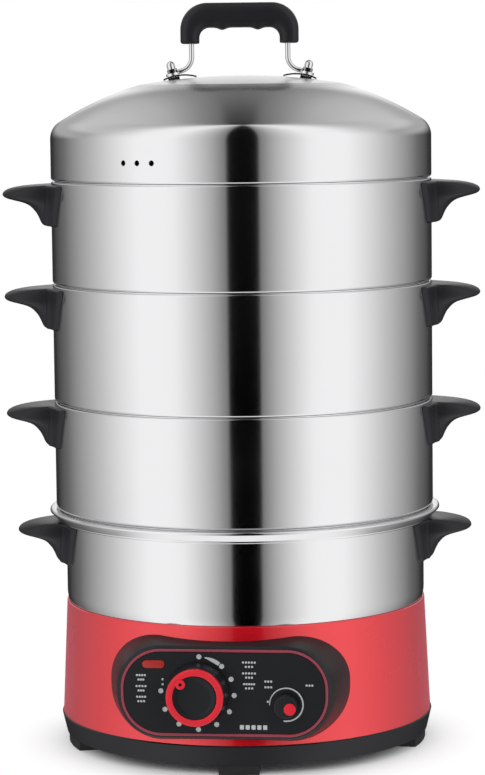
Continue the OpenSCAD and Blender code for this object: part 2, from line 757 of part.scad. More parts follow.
// Side handle on the +X side of a wall, hanging from a height
module side_handle(wall_r, top_z) color(black_plastic) translate([0, 0, top_z]) difference() {
    union() {
        intersection() {
            translate([wall_r, 0, 0]) rotate([90, 0, 0]) linear_extrude(2 * lug_half_w, center = true)
                polygon(concat([[-lug_plan_in, -handle_h], [-lug_plan_in, 0]],
                    [for (share = lug_shares) [share[0] * handle_reach, share[1] * handle_h]]));
            translate([wall_r - lug_plan_in, 0, -handle_h]) linear_extrude(handle_h) polygon([
                for (i = [0:lug_plan_n]) [
                    (handle_reach + lug_plan_in) * cos(180 * i / lug_plan_n - 90),
                    lug_half_w * sin(180 * i / lug_plan_n - 90)
                ]
            ]);
        }
        intersection() {
            translate([0, 0, -handle_h]) cylinder(r = wall_r + flange_t, h = handle_h, $fn = 180);
            rotate([90, 0, 90]) linear_extrude(wall_r + flange_t) polygon([
                [-wall_r * sin(flange_turn), -flange_t / 2], [-wall_r * sin(flange_foot_turn), -handle_h],
                [wall_r * sin(flange_foot_turn), -handle_h], [wall_r * sin(flange_turn), -flange_t / 2]
            ]);
        }
    }
    translate([0, 0, -handle_h - cut]) cylinder(r = wall_r, h = handle_h + 2 * cut, $fn = 180);
    for (turn = [-handle_screw_turn, handle_screw_turn])
        rotate(turn) translate([wall_r - cut, 0, -handle_screw_drop]) rotate([0, 90, 0])
            cylinder(r = handle_screw_r, h = handle_screw_l + cut);
}

// Places a drawing on the +X and on the -X side of the stack, turned half round
module both_sides() { for (turn = [0, 180]) rotate(turn) children(); }

// Clearance holes for the handle screws through a wall
module handle_screw_holes(wall_r, top_z) {
    both_sides() for (turn = [-handle_screw_turn, handle_screw_turn])
        rotate(turn) translate([wall_r - 2 * cut, 0, top_z - handle_screw_drop]) rotate([0, 90, 0])
            cylinder(r = handle_screw_r + hole_clear, h = 4 * cut);
}

// The four screws of a pair of handles, with their heads inside the wall
module handle_screws(wall_r, top_z) color(bright_steel) {
    both_sides() for (turn = [-handle_screw_turn, handle_screw_turn])
        rotate(turn) translate([wall_r - sheet_t, 0, top_z - handle_screw_drop]) rotate([0, 90, 0]) {
            translate([0, 0, -screw_head_h]) cylinder(r = handle_screw_d, h = screw_head_h - seat_gap / 2);
            translate([0, 0, -screw_head_h])
                cylinder(r = handle_screw_r, h = screw_head_h + handle_screw_l + sheet_t - seat_gap);
        }
}

module pot_handle_right() on_stack() side_handle(pot_r, pot_rim_z - pot_handle_drop);
module pot_handle_left() on_stack() rotate(180) side_handle(pot_r, pot_rim_z - pot_handle_drop);
module pot_handle_screws() on_stack() handle_screws(pot_r, pot_rim_z - pot_handle_drop);

// HEATER
// Plate, element and shield, measured down from the pot's underside
heat_plate_z = pot_floor_z - heat_plate_t;
element_tube_r = element_d / 2;
element_z = heat_plate_z;
element_from = 90 + element_gap / 2;
element_sweep = 360 - element_gap;
shield_z = heat_plate_z - shield_drop;
shield_rim_h = 5;
shield_eye_r = 8;
// Wall of a spacer, and the nuts on the studs
spacer_wall = 1.5;
nut_af = 10;
nut_h = 5;

// Aluminium plate under the pot, with a ring groove for the element
module heating_plate() on_stack() color(aluminium) difference() {
    translate([0, 0, heat_plate_z]) cylinder(r = heat_plate_r, h = heat_plate_t, $fn = 120);
    translate([0, 0, element_z]) rotate_extrude()
        translate([element_r, 0]) circle(r = element_tube_r + shaft_clear);
}

// Sheathed heating element, half sunk in the plate, with two cold ends that turn down
module heating_element() on_stack() color(steel) translate([0, 0, element_z]) {
    rotate(element_from) rotate_extrude(angle = element_sweep)
        translate([element_r, 0]) circle(r = element_tube_r);
    for (turn = [element_from, element_from + element_sweep]) rotate(turn) translate([element_r, 0, 0]) {
        sphere(r = element_tube_r);
        translate([0, 0, -element_leg]) cylinder(r = element_tube_r, h = element_leg);
    }
}

// Bimetal thermostat pressed against the middle of the plate
module thermostat() on_stack() color(ceramic) {
    translate([0, 0, heat_plate_z - thermostat_h]) cylinder(r = thermostat_d / 2, h = thermostat_h);
    for (side = [-1, 1])
        translate([side * (thermostat_d / 2 - pin_t), 0, heat_plate_z - thermostat_h - pin_w / 2])
            cube([pin_t, pin_w, pin_w], center = true);
}

// Length and width of the thermostat's strap
clip_l = thermostat_d + 4 * pin_w;
clip_w = 8;

// Strap that presses the thermostat up
module thermostat_clip() on_stack() color(steel)
    translate([-clip_w / 2, -clip_l / 2, heat_plate_z - thermostat_h - shield_t]) {
        cube([clip_w, clip_l, shield_t]);
        for (y = [0, clip_l - shield_t]) translate([0, y, 0]) cube([clip_w, shield_t, thermostat_h + shield_t]);
    }

// Thermal fuse lying against the underside of the plate
module thermal_fuse() on_stack() color(ceramic)
    translate([-fuse_l / 2, element_r / 2, heat_plate_z - fuse_d / 2]) rotate([0, 90, 0]) {
        cylinder(r = fuse_d / 2, h = fuse_l);
        translate([0, 0, -pin_w]) cylinder(r = pin_t / 2, h = fuse_l + 2 * pin_w);
    }

// Dished sheet that keeps the heat off the wiring
module heat_shield() on_stack() color(aluminium) difference() {
    turned([
        [0, shield_z - shield_t], [shield_r, shield_z - shield_t], [shield_r, shield_z + shield_rim_h],
        [shield_r - shield_t, shield_z + shield_rim_h], [shield_r - shield_t, shield_z], [0, shield_z]
    ]);
    at_studs() translate([0, 0, shield_z - shield_t - cut]) cylinder(r = stud_hole_r, h = shield_t + 2 * cut);
    translate([0, 0, shield_z - shield_t - cut]) cylinder(r = shield_eye_r, h = shield_t + 2 * cut);
    for (turn = [element_from, element_from + element_sweep])
        rotate(turn) translate([element_r, 0, shield_z - shield_t - cut])
            cylinder(r = element_tube_r + wire_core_d / 2, h = shield_t + 2 * cut);
}

// Ends of the studs
stud_tail = 0.5;
stud_foot_z = foot_h - nut_h - stud_tail;
stud_base_r = stud_d;
stud_base_h = 1.2;

// Studs welded to the pot's underside, reaching down through the bottom cover
module pot_studs() on_stack() color(bright_steel) at_studs() {
    translate([0, 0, stud_foot_z]) cylinder(r = stud_d / 2, h = pot_floor_z - stud_foot_z);
    translate([0, 0, pot_floor_z - stud_base_h]) cylinder(r = stud_base_r, h = stud_base_h);
}

// Tubes on the studs that space the pot, the heat shield and the bottom cover
module stud_spacers() on_stack() color(aluminium) at_studs() {
    spacer_tube(shield_z, pot_floor_z - stud_base_h);
    spacer_tube(cover_floor_z, shield_z - shield_t);
}

// One spacer between two heights
module spacer_tube(from, to) {
    translate([0, 0, from]) difference() {
        cylinder(r = stud_hole_r + spacer_wall, h = to - from);
        translate([0, 0, -cut]) cylinder(r = stud_hole_r, h = to - from + 2 * cut);
    }
}

// Hexagon nut round a bore, standing on a height
module hex_nut(af, h, bore_r) {
    difference() {
        cylinder(r = af / sqrt(3), h = h, $fn = 6);
        translate([0, 0, -cut]) cylinder(r = bore_r, h = h + 2 * cut);
    }
}

// Nuts under the bottom cover that clamp the base together
module stud_nuts() on_stack() color(bright_steel)
    at_studs() translate([0, 0, foot_h - nut_h]) hex_nut(nut_af, nut_h, stud_d / 2 + shaft_clear);

// POWER INLET
// Front and back of the inlet's case, and its pins
inlet_y = inlet_back_y + inlet_out;
inlet_in_y = inlet_y - inlet_depth - inlet_t;
inlet_flange_h = inlet_case_h + 2 * inlet_t;
pin_l = inlet_depth - inlet_t;
pin_tail = 6;
pin_rise = inlet_h / 4;
pin_places = [[-pin_gap / 2, -pin_rise], [pin_gap / 2, -pin_rise], [0, pin_rise]];

// Moulded power inlet in the back of the housing
module inlet_socket() on_stack() color(black_plastic) difference() {
    union() {
        difference() {
            translate([0, inlet_y - cut, inlet_z])
                cube([inlet_flange_w, 2 * cut + 2 * inlet_out, inlet_flange_h], center = true);
            translate([0, inlet_y + inlet_flange_w / 2, inlet_z])
                cube([2 * inlet_flange_w, inlet_flange_w, 2 * inlet_flange_h], center = true);
            housing_outside();
        }
        translate([-inlet_case_w / 2, inlet_in_y, inlet_z - inlet_case_h / 2])
            cube([inlet_case_w, inlet_y - inlet_in_y, inlet_case_h]);
    }
    translate([-inlet_w / 2, inlet_in_y + inlet_t, inlet_z - inlet_h / 2])
        cube([inlet_w, inlet_depth + cut, inlet_h]);
    for (side = [-1, 1]) translate([side * inlet_screw_gap / 2, inlet_back_y, inlet_z])
        rotate([90, 0, 0]) cylinder(r = inlet_screw_r + shaft_clear, h = inlet_case_w, center = true);
    for (place = pin_places) translate([place[0], inlet_in_y - cut, inlet_z + place[1]])
        rotate([-90, 0, 0]) translate([-pin_w / 2, -pin_t / 2, 0]) cube([pin_w, pin_t, inlet_t + 2 * cut]);
}

// Three flat pins of the inlet
module inlet_pins() on_stack() color(bright_steel) for (place = pin_places)
    translate([place[0], inlet_in_y - pin_tail, inlet_z + place[1]])
        rotate([-90, 0, 0]) translate([-pin_w / 2, -pin_t / 2, 0])
            cube([pin_w, pin_t, pin_tail + inlet_t + pin_l]);

// Two screws of the inlet, their heads on its flange
module inlet_screws() on_stack() color(bright_steel) for (side = [-1, 1])
    translate([side * inlet_screw_gap / 2, inlet_y, inlet_z]) rotate([90, 0, 0]) {
        translate([0, 0, -inlet_screw_r]) cylinder(r = 2 * inlet_screw_r, h = inlet_screw_r);
        translate([0, 0, -inlet_screw_r]) cylinder(r = inlet_screw_r, h = inlet_screw_r + handle_screw_l);
    }

// Terminal block
terminal_w = 40;
terminal_d = 16;
terminal_h = 12;
terminal_in = 34.75;
terminal_y = inlet_in_y - terminal_in;

// Terminal block on the floor of the bottom cover
module terminal_block() on_stack() color(ceramic) difference() {
    translate([-terminal_w / 2, terminal_y - terminal_d / 2, cover_floor_z])
        cube([terminal_w, terminal_d, terminal_h]);
    for (i = [-1, 0, 1]) translate([i * pin_gap, terminal_y, cover_floor_z + terminal_h - terminal_h / 3])
        cylinder(r = inlet_screw_r, h = terminal_h);
}

// Sides of a wire, and a direction that none of the wires runs in
wire_sides = 8;
wire_aside = [1, 2, 3];
// Height at which wires cross the floor, and of the element's ends
wire_floor_z = cover_floor_z + boss_h + wire_core_d;
leg_z = element_z - element_leg;

// Point on an element leg
function leg_point(turn, z) = [element_r * cos(turn), element_r * sin(turn), z];

// Wires of the circuit, from terminal to terminal
wire_runs = [
    [[-pin_gap / 2, inlet_in_y - pin_tail, inlet_z - pin_rise],
     [-pin_gap / 2, terminal_y, inlet_z - 2 * pin_rise],
     [-pin_gap, terminal_y, cover_floor_z + terminal_h]],
    [[pin_gap / 2, inlet_in_y - pin_tail, inlet_z - pin_rise],
     [pin_gap, terminal_y + terminal_d / 4, inlet_z - 2 * pin_rise],
     [pin_gap, terminal_y, cover_floor_z + terminal_h]],
    [leg_point(element_from, leg_z), leg_point(element_from, wire_floor_z + terminal_h),
     [-pin_gap, terminal_y - terminal_d / 2, cover_floor_z + terminal_h / 2]],
    [leg_point(element_from + element_sweep, leg_z), leg_point(element_from + element_sweep, wire_floor_z),
     [element_r, 0, wire_floor_z], [element_r, -element_r, wire_floor_z],
     panel_point(select_u, select_v - select_case_d / 4, -face_t - select_case_h)],
    [[0, 0, heat_plate_z - thermostat_h - shield_t], [0, 0, wire_floor_z],
     [-element_r / 2, -element_r, wire_floor_z],
     panel_point(timer_u, timer_v - timer_case_w / 4, -face_t - timer_case_h)],
    [panel_point(timer_u + timer_case_w / 2, timer_v, -face_t - timer_case_h / 2),
     panel_point((timer_u + select_u + timer_case_w / 2) / 2, select_v - select_case_d / 4,
         -face_t - timer_case_h / 2),
     panel_point(select_u - select_case_d / 2, select_v, -face_t - select_case_h / 2)]
];

// Direction of a span
function unit(v) = v / norm(v);

// Side direction at a point of a run, carried along from its start
function carried_side(ways, i) =
    i == 0 ? unit(cross(ways[0], wire_aside))
    : let (side = carried_side(ways, i - 1)) unit(side - (side * ways[i]) * ways[i]);

// Round tube along a run of points
module wire_run(points, r) {
    last = len(points) - 1;
    spans = [for (i = [0:last - 1]) unit(points[i + 1] - points[i])];
    ways = [for (i = [0:last]) unit(spans[max(i - 1, 0)] + spans[min(i, last - 1)])];
    n = wire_sides;
    polyhedron(
        points = [for (i = [0:last]) let (side = carried_side(ways, i), up = cross(ways[i], side))
            for (k = [0:n - 1]) points[i] + r * (side * cos(360 * k / n) + up * sin(360 * k / n))],
        faces = concat(
            [[for (k = [n - 1:-1:0]) k]],
            [for (i = [0:last - 1], k = [0:n - 1])
                [i * n + k, i * n + (k + 1) % n, (i + 1) * n + (k + 1) % n, (i + 1) * n + k]],
            [[for (k = [0:n - 1]) last * n + k]]
        )
    );
}

module inner_wires() on_stack() color(wire_brown) for (run = wire_runs) wire_run(run, wire_core_d / 2);

// STEAMING TIERS
// Edge of a steam plate and the spacing of its rings of holes
hole_margin = 8;
plate_r = skirt_r - sheet_t - hole_clear;
hole_pitch = (skirt_r - ledge_w - hole_margin) / steam_rings;

// Profile of the shoulder and the skirt that every stacked piece stands on, from the inside out
skirt_points = concat(
    [
        [skirt_r - ledge_w, sheet_t - nest_h], [skirt_r - ledge_w, -nest_h],
        [skirt_r, -nest_h], [skirt_r, seat_gap]
    ],
    arc([tier_r - shoulder_r, seat_gap + shoulder_r], shoulder_r, -90, 0)
);

// The same profile on the inside of the sheet, from the outside in
skirt_inner_points = concat(
    arc([tier_r - shoulder_r, seat_gap + shoulder_r], shoulder_r - sheet_t, 0, -90),
    [[skirt_r - sheet_t, seat_gap + sheet_t], [skirt_r - sheet_t, sheet_t - nest_h]]
);

// Shell of a tier between two seams
module tier_shell(bottom_z, h) color(steel) translate([0, 0, bottom_z]) difference() {
    union() {
        turned(concat(skirt_points, [[tier_r, h - hem_r], [tier_r - sheet_t, h - hem_r]], skirt_inner_points));
        translate([0, 0, h - hem_r]) rotate_extrude($fn = 180)
            translate([tier_r - hem_r, 0]) circle(r = hem_r, $fn = 24);
    }
    handle_screw_holes(tier_r, h - handle_drop);
}

// Perforated plate on a tier's ledge
module steam_plate(bottom_z) color(bright_steel) translate([0, 0, bottom_z + sheet_t - nest_h]) difference() {
    cylinder(r = plate_r, h = plate_t, $fn = 180);
    translate([0, 0, -cut]) cylinder(r = steam_hole_d / 2, h = plate_t + 2 * cut, $fn = 24);
    for (ring = [1:steam_rings], i = [0:6 * ring - 1])
        rotate(i * 60 / ring) translate([ring * hole_pitch, 0, -cut])
            cylinder(r = steam_hole_d / 2, h = plate_t + 2 * cut, $fn = 24);
}

module lower_tier() on_stack() tier_shell(lower_z, lower_tier_h);
module lower_handle_right() on_stack() side_handle(tier_r, middle_z - handle_drop);
module lower_handle_left() on_stack() rotate(180) side_handle(tier_r, middle_z - handle_drop);
module lower_handle_screws() on_stack() handle_screws(tier_r, middle_z - handle_drop);
module lower_steam_plate() on_stack() steam_plate(lower_z);

module middle_tier() on_stack() tier_shell(middle_z, middle_tier_h);
module middle_handle_right() on_stack() side_handle(tier_r, upper_z - handle_drop);
module middle_handle_left() on_stack() rotate(180) side_handle(tier_r, upper_z - handle_drop);
module middle_handle_screws() on_stack() handle_screws(tier_r, upper_z - handle_drop);
module middle_steam_plate() on_stack() steam_plate(middle_z);

module upper_tier() on_stack() tier_shell(upper_z, upper_tier_h);
module upper_handle_right() on_stack() side_handle(tier_r, lid_z - handle_drop);
module upper_handle_left() on_stack() rotate(180) side_handle(tier_r, lid_z - handle_drop);
module upper_handle_screws() on_stack() handle_screws(tier_r, lid_z - handle_drop);
module upper_steam_plate() on_stack() steam_plate(upper_z);

// LID
// Corner and cone of the lid
lid_cone_w = tier_r - lid_ridge_r;
lid_corner_slope = atan((1 + cone_bulge_share) * lid_cone_h / lid_cone_w);
lid_corner_turn = 90 - lid_corner_slope;
lid_corner_cut = lid_corner_r * tan(lid_corner_turn / 2);
lid_ridge_h = lid_wall_h + lid_cone_h;
lid_ridge_z = lid_z + lid_ridge_h;
cone_from_share = 0.08;
cone_n = 10;
crown_n = 10;

// Height of the cone above the seam at a share of its width, from the corner inwards
function cone_h(share) =
    lid_wall_h + lid_cone_h * ((1 + cone_bulge_share) * share - cone_bulge_share * pow(share, 2));

// Height of the crown above the seam at a radius
function crown_h(r) = lid_ridge_h + lid_crown_h * (1 - pow(r / lid_ridge_r, 2));

// Outside of the lid from its wall to its middle
lid_outer_points = concat(
    arc([tier_r - lid_corner_r, lid_wall_h - lid_corner_cut], lid_corner_r, 0, lid_corner_turn),
    [for (i = [0:cone_n]) let (share = cone_from_share + (1 - cone_from_share) * i / cone_n)
        [tier_r - share * lid_cone_w, cone_h(share)]],
    [for (i = [1:crown_n]) let (r = lid_ridge_r * (1 - i / crown_n)) [r, crown_h(r)]]
);
lid_point_n = len(lid_outer_points);

// Places a drawing at both saddles: z runs out from the middle of the saddle's arch
module at_saddles() {
    both_sides() translate([saddle_x, 0, saddle_seat_z]) rotate([0, crown_slope, 0])
        translate([0, 0, saddle_rise - saddle_arch_r]) children();
}

// The same along the axis of each handle bolt
module at_lid_bolts() { at_saddles() rotate([0, bolt_turn, 0]) children(); }

// Seats and slopes of the saddles and their bolts
saddle_x = lid_bolt_x - saddle_shift;
saddle_seat_z = lid_z + crown_h(saddle_x);
crown_slope = atan(2 * lid_crown_h * saddle_x / pow(lid_ridge_r, 2));
saddle_rise = saddle_arch_r - sqrt(pow(saddle_arch_r, 2) - pow(saddle_l / 2, 2));
bolt_turn = asin(saddle_shift / saddle_arch_r);
bolt_lean = crown_slope + bolt_turn;
lid_bolt_r = lid_bolt_d / 2;
bolt_head_r = lid_bolt_d;
bolt_head_h = 2;
saddle_drop = saddle_rise + 2 * sheet_t;
spacer_sag = saddle_arch_r - sqrt(pow(saddle_arch_r, 2) - pow(spacer_d / 2, 2));

// Domed lid with a nesting skirt, three vent holes and two bolt holes
module lid_shell() on_stack() color(steel) difference() {
    translate([0, 0, lid_z]) turned(concat(
        skirt_points, lid_outer_points,
        [for (i = [lid_point_n - 1:-1:0])
            [max(lid_outer_points[i][0] - sheet_t, 0), lid_outer_points[i][1] - sheet_t]],
        skirt_inner_points
    ));
    for (i = [-1, 0, 1]) rotate(-90 - vent_turn + i * vent_step)
        translate([tier_r - 2 * cut, 0, lid_z + vent_z])
            rotate([0, 90, 0]) cylinder(r = vent_d / 2, h = 4 * cut, $fn = 32);
    at_lid_bolts() translate([0, 0, saddle_arch_r - saddle_drop - 2 * cut])
        cylinder(r = lid_bolt_r + hole_clear, h = saddle_drop + 2 * cut);
}

// Solid that the crown and the cone of the lid enclose
module crown_outside() {
    translate([0, 0, lid_z]) turned(concat([[0, 0]], [[tier_r, 0]], lid_outer_points));
}

// LID HANDLE
// Course of the wire, from its eyes up to the grip
wire_r = wire_d / 2;
eye_t = wire_r;
eye_border = 1.5;
eye_r = acorn_af / sqrt(3) + eye_border;
arch_x = saddle_x - (saddle_arch_r - saddle_rise) * sin(crown_slope);
arch_z = saddle_seat_z - (saddle_arch_r - saddle_rise) * cos(crown_slope);
wire_run_r = saddle_arch_r + saddle_t + wire_r;
eye_x = arch_x + wire_run_r * sin(bolt_lean);
eye_z = arch_z + wire_run_r * cos(bolt_lean);
bend_sweep = 90 - bolt_lean;
bend_end_x = wire_x + wire_bend_r * (1 - sin(bolt_lean));
wire_run_l = (eye_x - bend_end_x) / cos(bolt_lean);
bend_z = eye_z + wire_run_l * sin(bolt_lean) + wire_bend_r * cos(bolt_lean);
// Lap of the wire's straight run into its bend, and the step between their skins
wire_lap = 0.5;
wire_step = 0.05;
grip_foot_z = lid_ridge_z + grip_lift;
grip_top_z = grip_foot_z + grip_h;
wire_top_z = grip_top_z - grip_bar_h / 2;

// Bent wire of the lid handle, without its eyes
module wire_body(r) {
    both_sides() {
        translate([wire_x, 0, bend_z]) cylinder(r = r, h = wire_top_z - wire_bend_r - bend_z);
        translate([wire_x + wire_bend_r, 0, bend_z]) rotate([90, 0, 0]) rotate(180)
            rotate_extrude(angle = bend_sweep) translate([wire_bend_r, 0]) circle(r = r);
        translate([wire_x - wire_bend_r, 0, wire_top_z - wire_bend_r]) rotate([90, 0, 0])
            rotate_extrude(angle = 90) translate([wire_bend_r, 0]) circle(r = r);
        translate([eye_x, 0, eye_z]) rotate([0, bolt_lean - 90, 0]) translate([0, 0, acorn_af / sqrt(3)])
            cylinder(r = r - wire_step, h = wire_run_l - acorn_af / sqrt(3) + wire_lap);
    }
    translate([-wire_x + wire_bend_r, 0, wire_top_z]) rotate([0, 90, 0])
        cylinder(r = r, h = 2 * (wire_x - wire_bend_r));
}

// Chrome wire with a flattened eye at each end
module lid_wire() on_stack() color(bright_steel) difference() {
    union() {
        wire_body(wire_r);
        at_lid_bolts() translate([0, 0, saddle_arch_r + saddle_t]) cylinder(r = eye_r, h = eye_t);
    }
    at_lid_bolts() translate([0, 0, saddle_arch_r])
        cylinder(r = lid_bolt_r + hole_clear, h = saddle_t + eye_t + cut);
}

// Underside of the grip
grip_inner_r = 8;
grip_bump_x = 14;
grip_bump_w = 9;
grip_in_x = grip_l / 2 - grip_leg_w;
grip_under_h = grip_h - grip_bar_h;
grip_bump_n = 4;

// One finger bump on the underside of the grip, as points
function bump_points(x) = [for (i = [0:grip_bump_n])
    [x + grip_bump_w * (0.5 - i / grip_bump_n), grip_under_h - grip_bump_h * sin(180 * i / grip_bump_n)]];

// Moulded grip round the wire, arched over two legs, with finger bumps beneath
module lid_grip() on_stack() color(black_plastic) difference() {
    translate([0, 0, grip_foot_z]) rotate([90, 0, 0]) linear_extrude(grip_w, center = true) polygon(concat(
        [[grip_in_x, 0], [grip_l / 2, 0]],
        arc([grip_l / 2 - grip_corner_r, grip_h - grip_corner_r], grip_corner_r, 0, 90, 2 * bend_n),
        arc([grip_corner_r - grip_l / 2, grip_h - grip_corner_r], grip_corner_r, 90, 180, 2 * bend_n),
        [[-grip_l / 2, 0], [-grip_in_x, 0]],
        arc([grip_inner_r - grip_in_x, grip_under_h - grip_inner_r], grip_inner_r, 180, 90),
        [for (i = [grip_bump_n:-1:0]) bump_points(-grip_bump_x)[i]],
        [for (i = [grip_bump_n:-1:0]) bump_points(grip_bump_x)[i]],
        arc([grip_in_x - grip_inner_r, grip_under_h - grip_inner_r], grip_inner_r, 90, 0)
    ));
    wire_body(wire_r + shaft_clear);
}

// Sealing spacers between the lid and the saddles
module lid_spacers() on_stack() color(rubber_black) difference() {
    at_lid_bolts() translate([0, 0, saddle_arch_r - saddle_drop])
        cylinder(r = spacer_d / 2, h = saddle_drop - spacer_sag);
    at_lid_bolts() translate([0, 0, saddle_arch_r - saddle_drop - cut])
        cylinder(r = lid_bolt_r + hole_clear, h = saddle_drop + 2 * cut);
    crown_outside();
}

// Arched saddles that spread the load of the wire's eyes
module lid_saddles() on_stack() color(bright_steel) difference() {
    at_saddles() intersection() {
        rotate([90, 0, 0]) difference() {
            cylinder(r = saddle_arch_r + saddle_t, h = saddle_w, center = true, $fn = 180);
            cylinder(r = saddle_arch_r, h = saddle_w + 2 * cut, center = true, $fn = 180);
        }
        translate([-saddle_l / 2, -saddle_w / 2, 0]) cube([saddle_l, saddle_w, saddle_arch_r + 2 * saddle_t]);
    }
    at_lid_bolts() translate([0, 0, saddle_arch_r - cut])
        cylinder(r = lid_bolt_r + hole_clear, h = saddle_t + 2 * cut);
    crown_outside();
}

// End of a bolt inside its nut
bolt_top = saddle_arch_r + saddle_t + eye_t + acorn_h / 2;

// Bolts from inside the lid up into the acorn nuts
module lid_bolts() on_stack() color(bright_steel) at_lid_bolts() {
    translate([0, 0, saddle_arch_r - saddle_drop - bolt_head_h]) cylinder(r = bolt_head_r, h = bolt_head_h);
    translate([0, 0, saddle_arch_r - saddle_drop])
        cylinder(r = lid_bolt_r, h = bolt_top - saddle_arch_r + saddle_drop - seat_gap);
}

// Step from an acorn nut's flats in to its dome
acorn_step = 0.3;
acorn_dome_r = acorn_af / 2 - acorn_step;
acorn_hex_h = acorn_h - acorn_dome_r;

// Acorn nuts on the handle bolts
module lid_nuts() on_stack() color(bright_steel)
    at_lid_bolts() translate([0, 0, saddle_arch_r + saddle_t + eye_t]) difference() {
        union() {
            cylinder(r = acorn_af / sqrt(3), h = acorn_hex_h / 2, $fn = 6);
            cylinder(r = acorn_dome_r, h = acorn_hex_h);
            translate([0, 0, acorn_hex_h]) sphere(r = acorn_dome_r);
        }
        translate([0, 0, -cut]) cylinder(r = lid_bolt_r, h = cut + acorn_h / 2);
    }

bottom_cover();
feet();
foot_screws();
housing();
panel_bezel();
panel_trim();
panel_face();
lamp_lens();
neon_lamp();
timer_case();
selector_case();
pot();
pot_handle_left();
pot_handle_right();
pot_handle_screws();
heating_plate();
heating_element();
thermostat();
thermostat_clip();
thermal_fuse();
heat_shield();
pot_studs();
stud_spacers();
stud_nuts();
terminal_block();
inlet_socket();
inlet_pins();
inlet_screws();
inner_wires();
timer_knob();
timer_ring();
timer_cap();
timer_pointer();
timer_shaft();
selector_knob();
selector_dot();
selector_shaft();
lower_tier();
lower_handle_left();
lower_handle_right();
lower_handle_screws();
lower_steam_plate();
middle_tier();
middle_handle_left();
middle_handle_right();
middle_handle_screws();
middle_steam_plate();
upper_tier();
upper_handle_left();
upper_handle_right();
upper_handle_screws();
upper_steam_plate();
lid_shell();
lid_wire();
lid_grip();
lid_spacers();
lid_saddles();
lid_bolts();
lid_nuts();
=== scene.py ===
"""Electric food steamer: finishes, moulded parts, printed dial and studio.

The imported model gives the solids. This script dresses them, builds the parts
whose form is finer than a solid needs, and lays out a plain studio.
Everything is in metres, +Z up, the control panel towards -Y.
"""

from __future__ import annotations

import json
import logging
from collections.abc import Sequence
from dataclasses import dataclass
from enum import Enum
from math import atan, copysign, cos, degrees, exp, hypot, inf, pi, radians, sin, sqrt, tan, tau

import bmesh
import bpy
from mathutils import Matrix, Vector

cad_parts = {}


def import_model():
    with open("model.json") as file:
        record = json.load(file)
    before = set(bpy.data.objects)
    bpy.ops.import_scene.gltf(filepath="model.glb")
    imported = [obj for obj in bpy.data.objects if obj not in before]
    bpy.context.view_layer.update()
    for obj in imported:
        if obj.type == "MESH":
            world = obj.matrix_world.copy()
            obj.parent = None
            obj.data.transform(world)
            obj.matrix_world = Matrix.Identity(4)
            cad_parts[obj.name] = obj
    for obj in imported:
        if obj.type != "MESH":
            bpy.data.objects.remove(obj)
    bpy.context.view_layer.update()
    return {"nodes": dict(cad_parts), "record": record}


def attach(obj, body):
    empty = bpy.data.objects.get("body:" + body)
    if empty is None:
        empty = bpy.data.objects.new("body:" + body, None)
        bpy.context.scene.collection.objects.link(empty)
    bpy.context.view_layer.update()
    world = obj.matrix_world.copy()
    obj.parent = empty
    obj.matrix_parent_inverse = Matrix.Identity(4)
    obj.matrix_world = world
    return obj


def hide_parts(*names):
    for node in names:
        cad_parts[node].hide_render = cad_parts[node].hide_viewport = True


LOG = logging.getLogger("steamer")
MM = 0.001
AXIS_Y = 7.787 * MM  # Place of the stack's axis
MERGE = 1e-7  # Points closer than this are one
SHARP = 35.0  # Corner, in degrees, past which an edge stays sharp
ROUND_STEPS = 256  # Steps round the stack
CURVE_STEPS = 24  # Steps along a large curve

Point = tuple[float, float]
Corner = tuple[float, float, float]
Colour = tuple[float, float, float]
Shape = bmesh.types.BMesh
Mesh = bpy.types.Mesh
Object = bpy.types.Object
Material = bpy.types.Material
Node = bpy.types.Node
NodeTree = bpy.types.NodeTree
Socket = bpy.types.NodeSocket


class Body(Enum):
    """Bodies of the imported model."""

    BASE = "base"
    TIMER = "timer"
    SELECTOR = "selector"
    LOWER = "lower_tier"
    MIDDLE = "middle_tier"
    UPPER = "upper_tier"
    LID = "lid"


# MESHES


def add_object(name: str, mesh: Mesh, *materials: Material) -> Object:
    """Adds a mesh to the scene, as an object at the origin.

    Args:
        name: Name of the object.
        mesh: Its mesh.
        *materials: Its materials, in order.

    Returns:
        The object.
    """
    piece = bpy.data.objects.new(name, mesh)
    mesh.materials.clear()
    for material in materials:
        mesh.materials.append(material)
    bpy.context.scene.collection.objects.link(piece)
    return piece


def finish_mesh(name: str, shape: Shape, angle: float = SHARP) -> Mesh:
    """Turns a working mesh, which is freed, into a smooth mesh.

    Args:
        name: Name of the mesh.
        shape: The working mesh.
        angle: Corner in degrees past which its edges stay sharp.

    Returns:
        The mesh.
    """
    bmesh.ops.remove_doubles(shape, verts=shape.verts, dist=MERGE)
    bmesh.ops.recalc_face_normals(shape, faces=shape.faces)
    mesh = bpy.data.meshes.new(name)
    shape.to_mesh(mesh)
    shape.free()
    mesh.polygons.foreach_set("use_smooth", [True] * len(mesh.polygons))
    mesh.set_sharp_from_angle(angle=radians(angle))
    return mesh


def fillet(corners: Sequence[Corner], steps: int = 4) -> list[Point]:
    """Rounds the corners of a closed outline.

    Args:
        corners: Place and radius of each corner in millimetres, radius 0 for a sharp one.
        steps: Segments in each rounding.

    Returns:
        The rounded outline in metres.
    """
    out: list[Point] = []
    points = [(x * MM, y * MM) for x, y, _ in corners]
    for i, (x, y) in enumerate(points):
        radius = corners[i][2] * MM
        if radius <= 0:
            out.append((x, y))
            continue
        here = Vector((x, y))
        back = Vector(points[i - 1]) - here
        ahead = Vector(points[(i + 1) % len(points)]) - here
        reach = min(radius / tan(back.angle(ahead) / 2), 0.49 * back.length, 0.49 * ahead.length)
        start, end = here + back.normalized() * reach, here + ahead.normalized() * reach
        for k in range(steps + 1):
            t = k / steps
            point = (1 - t) ** 2 * start + 2 * t * (1 - t) * here + t * t * end
            out.append((point.x, point.y))
    return out


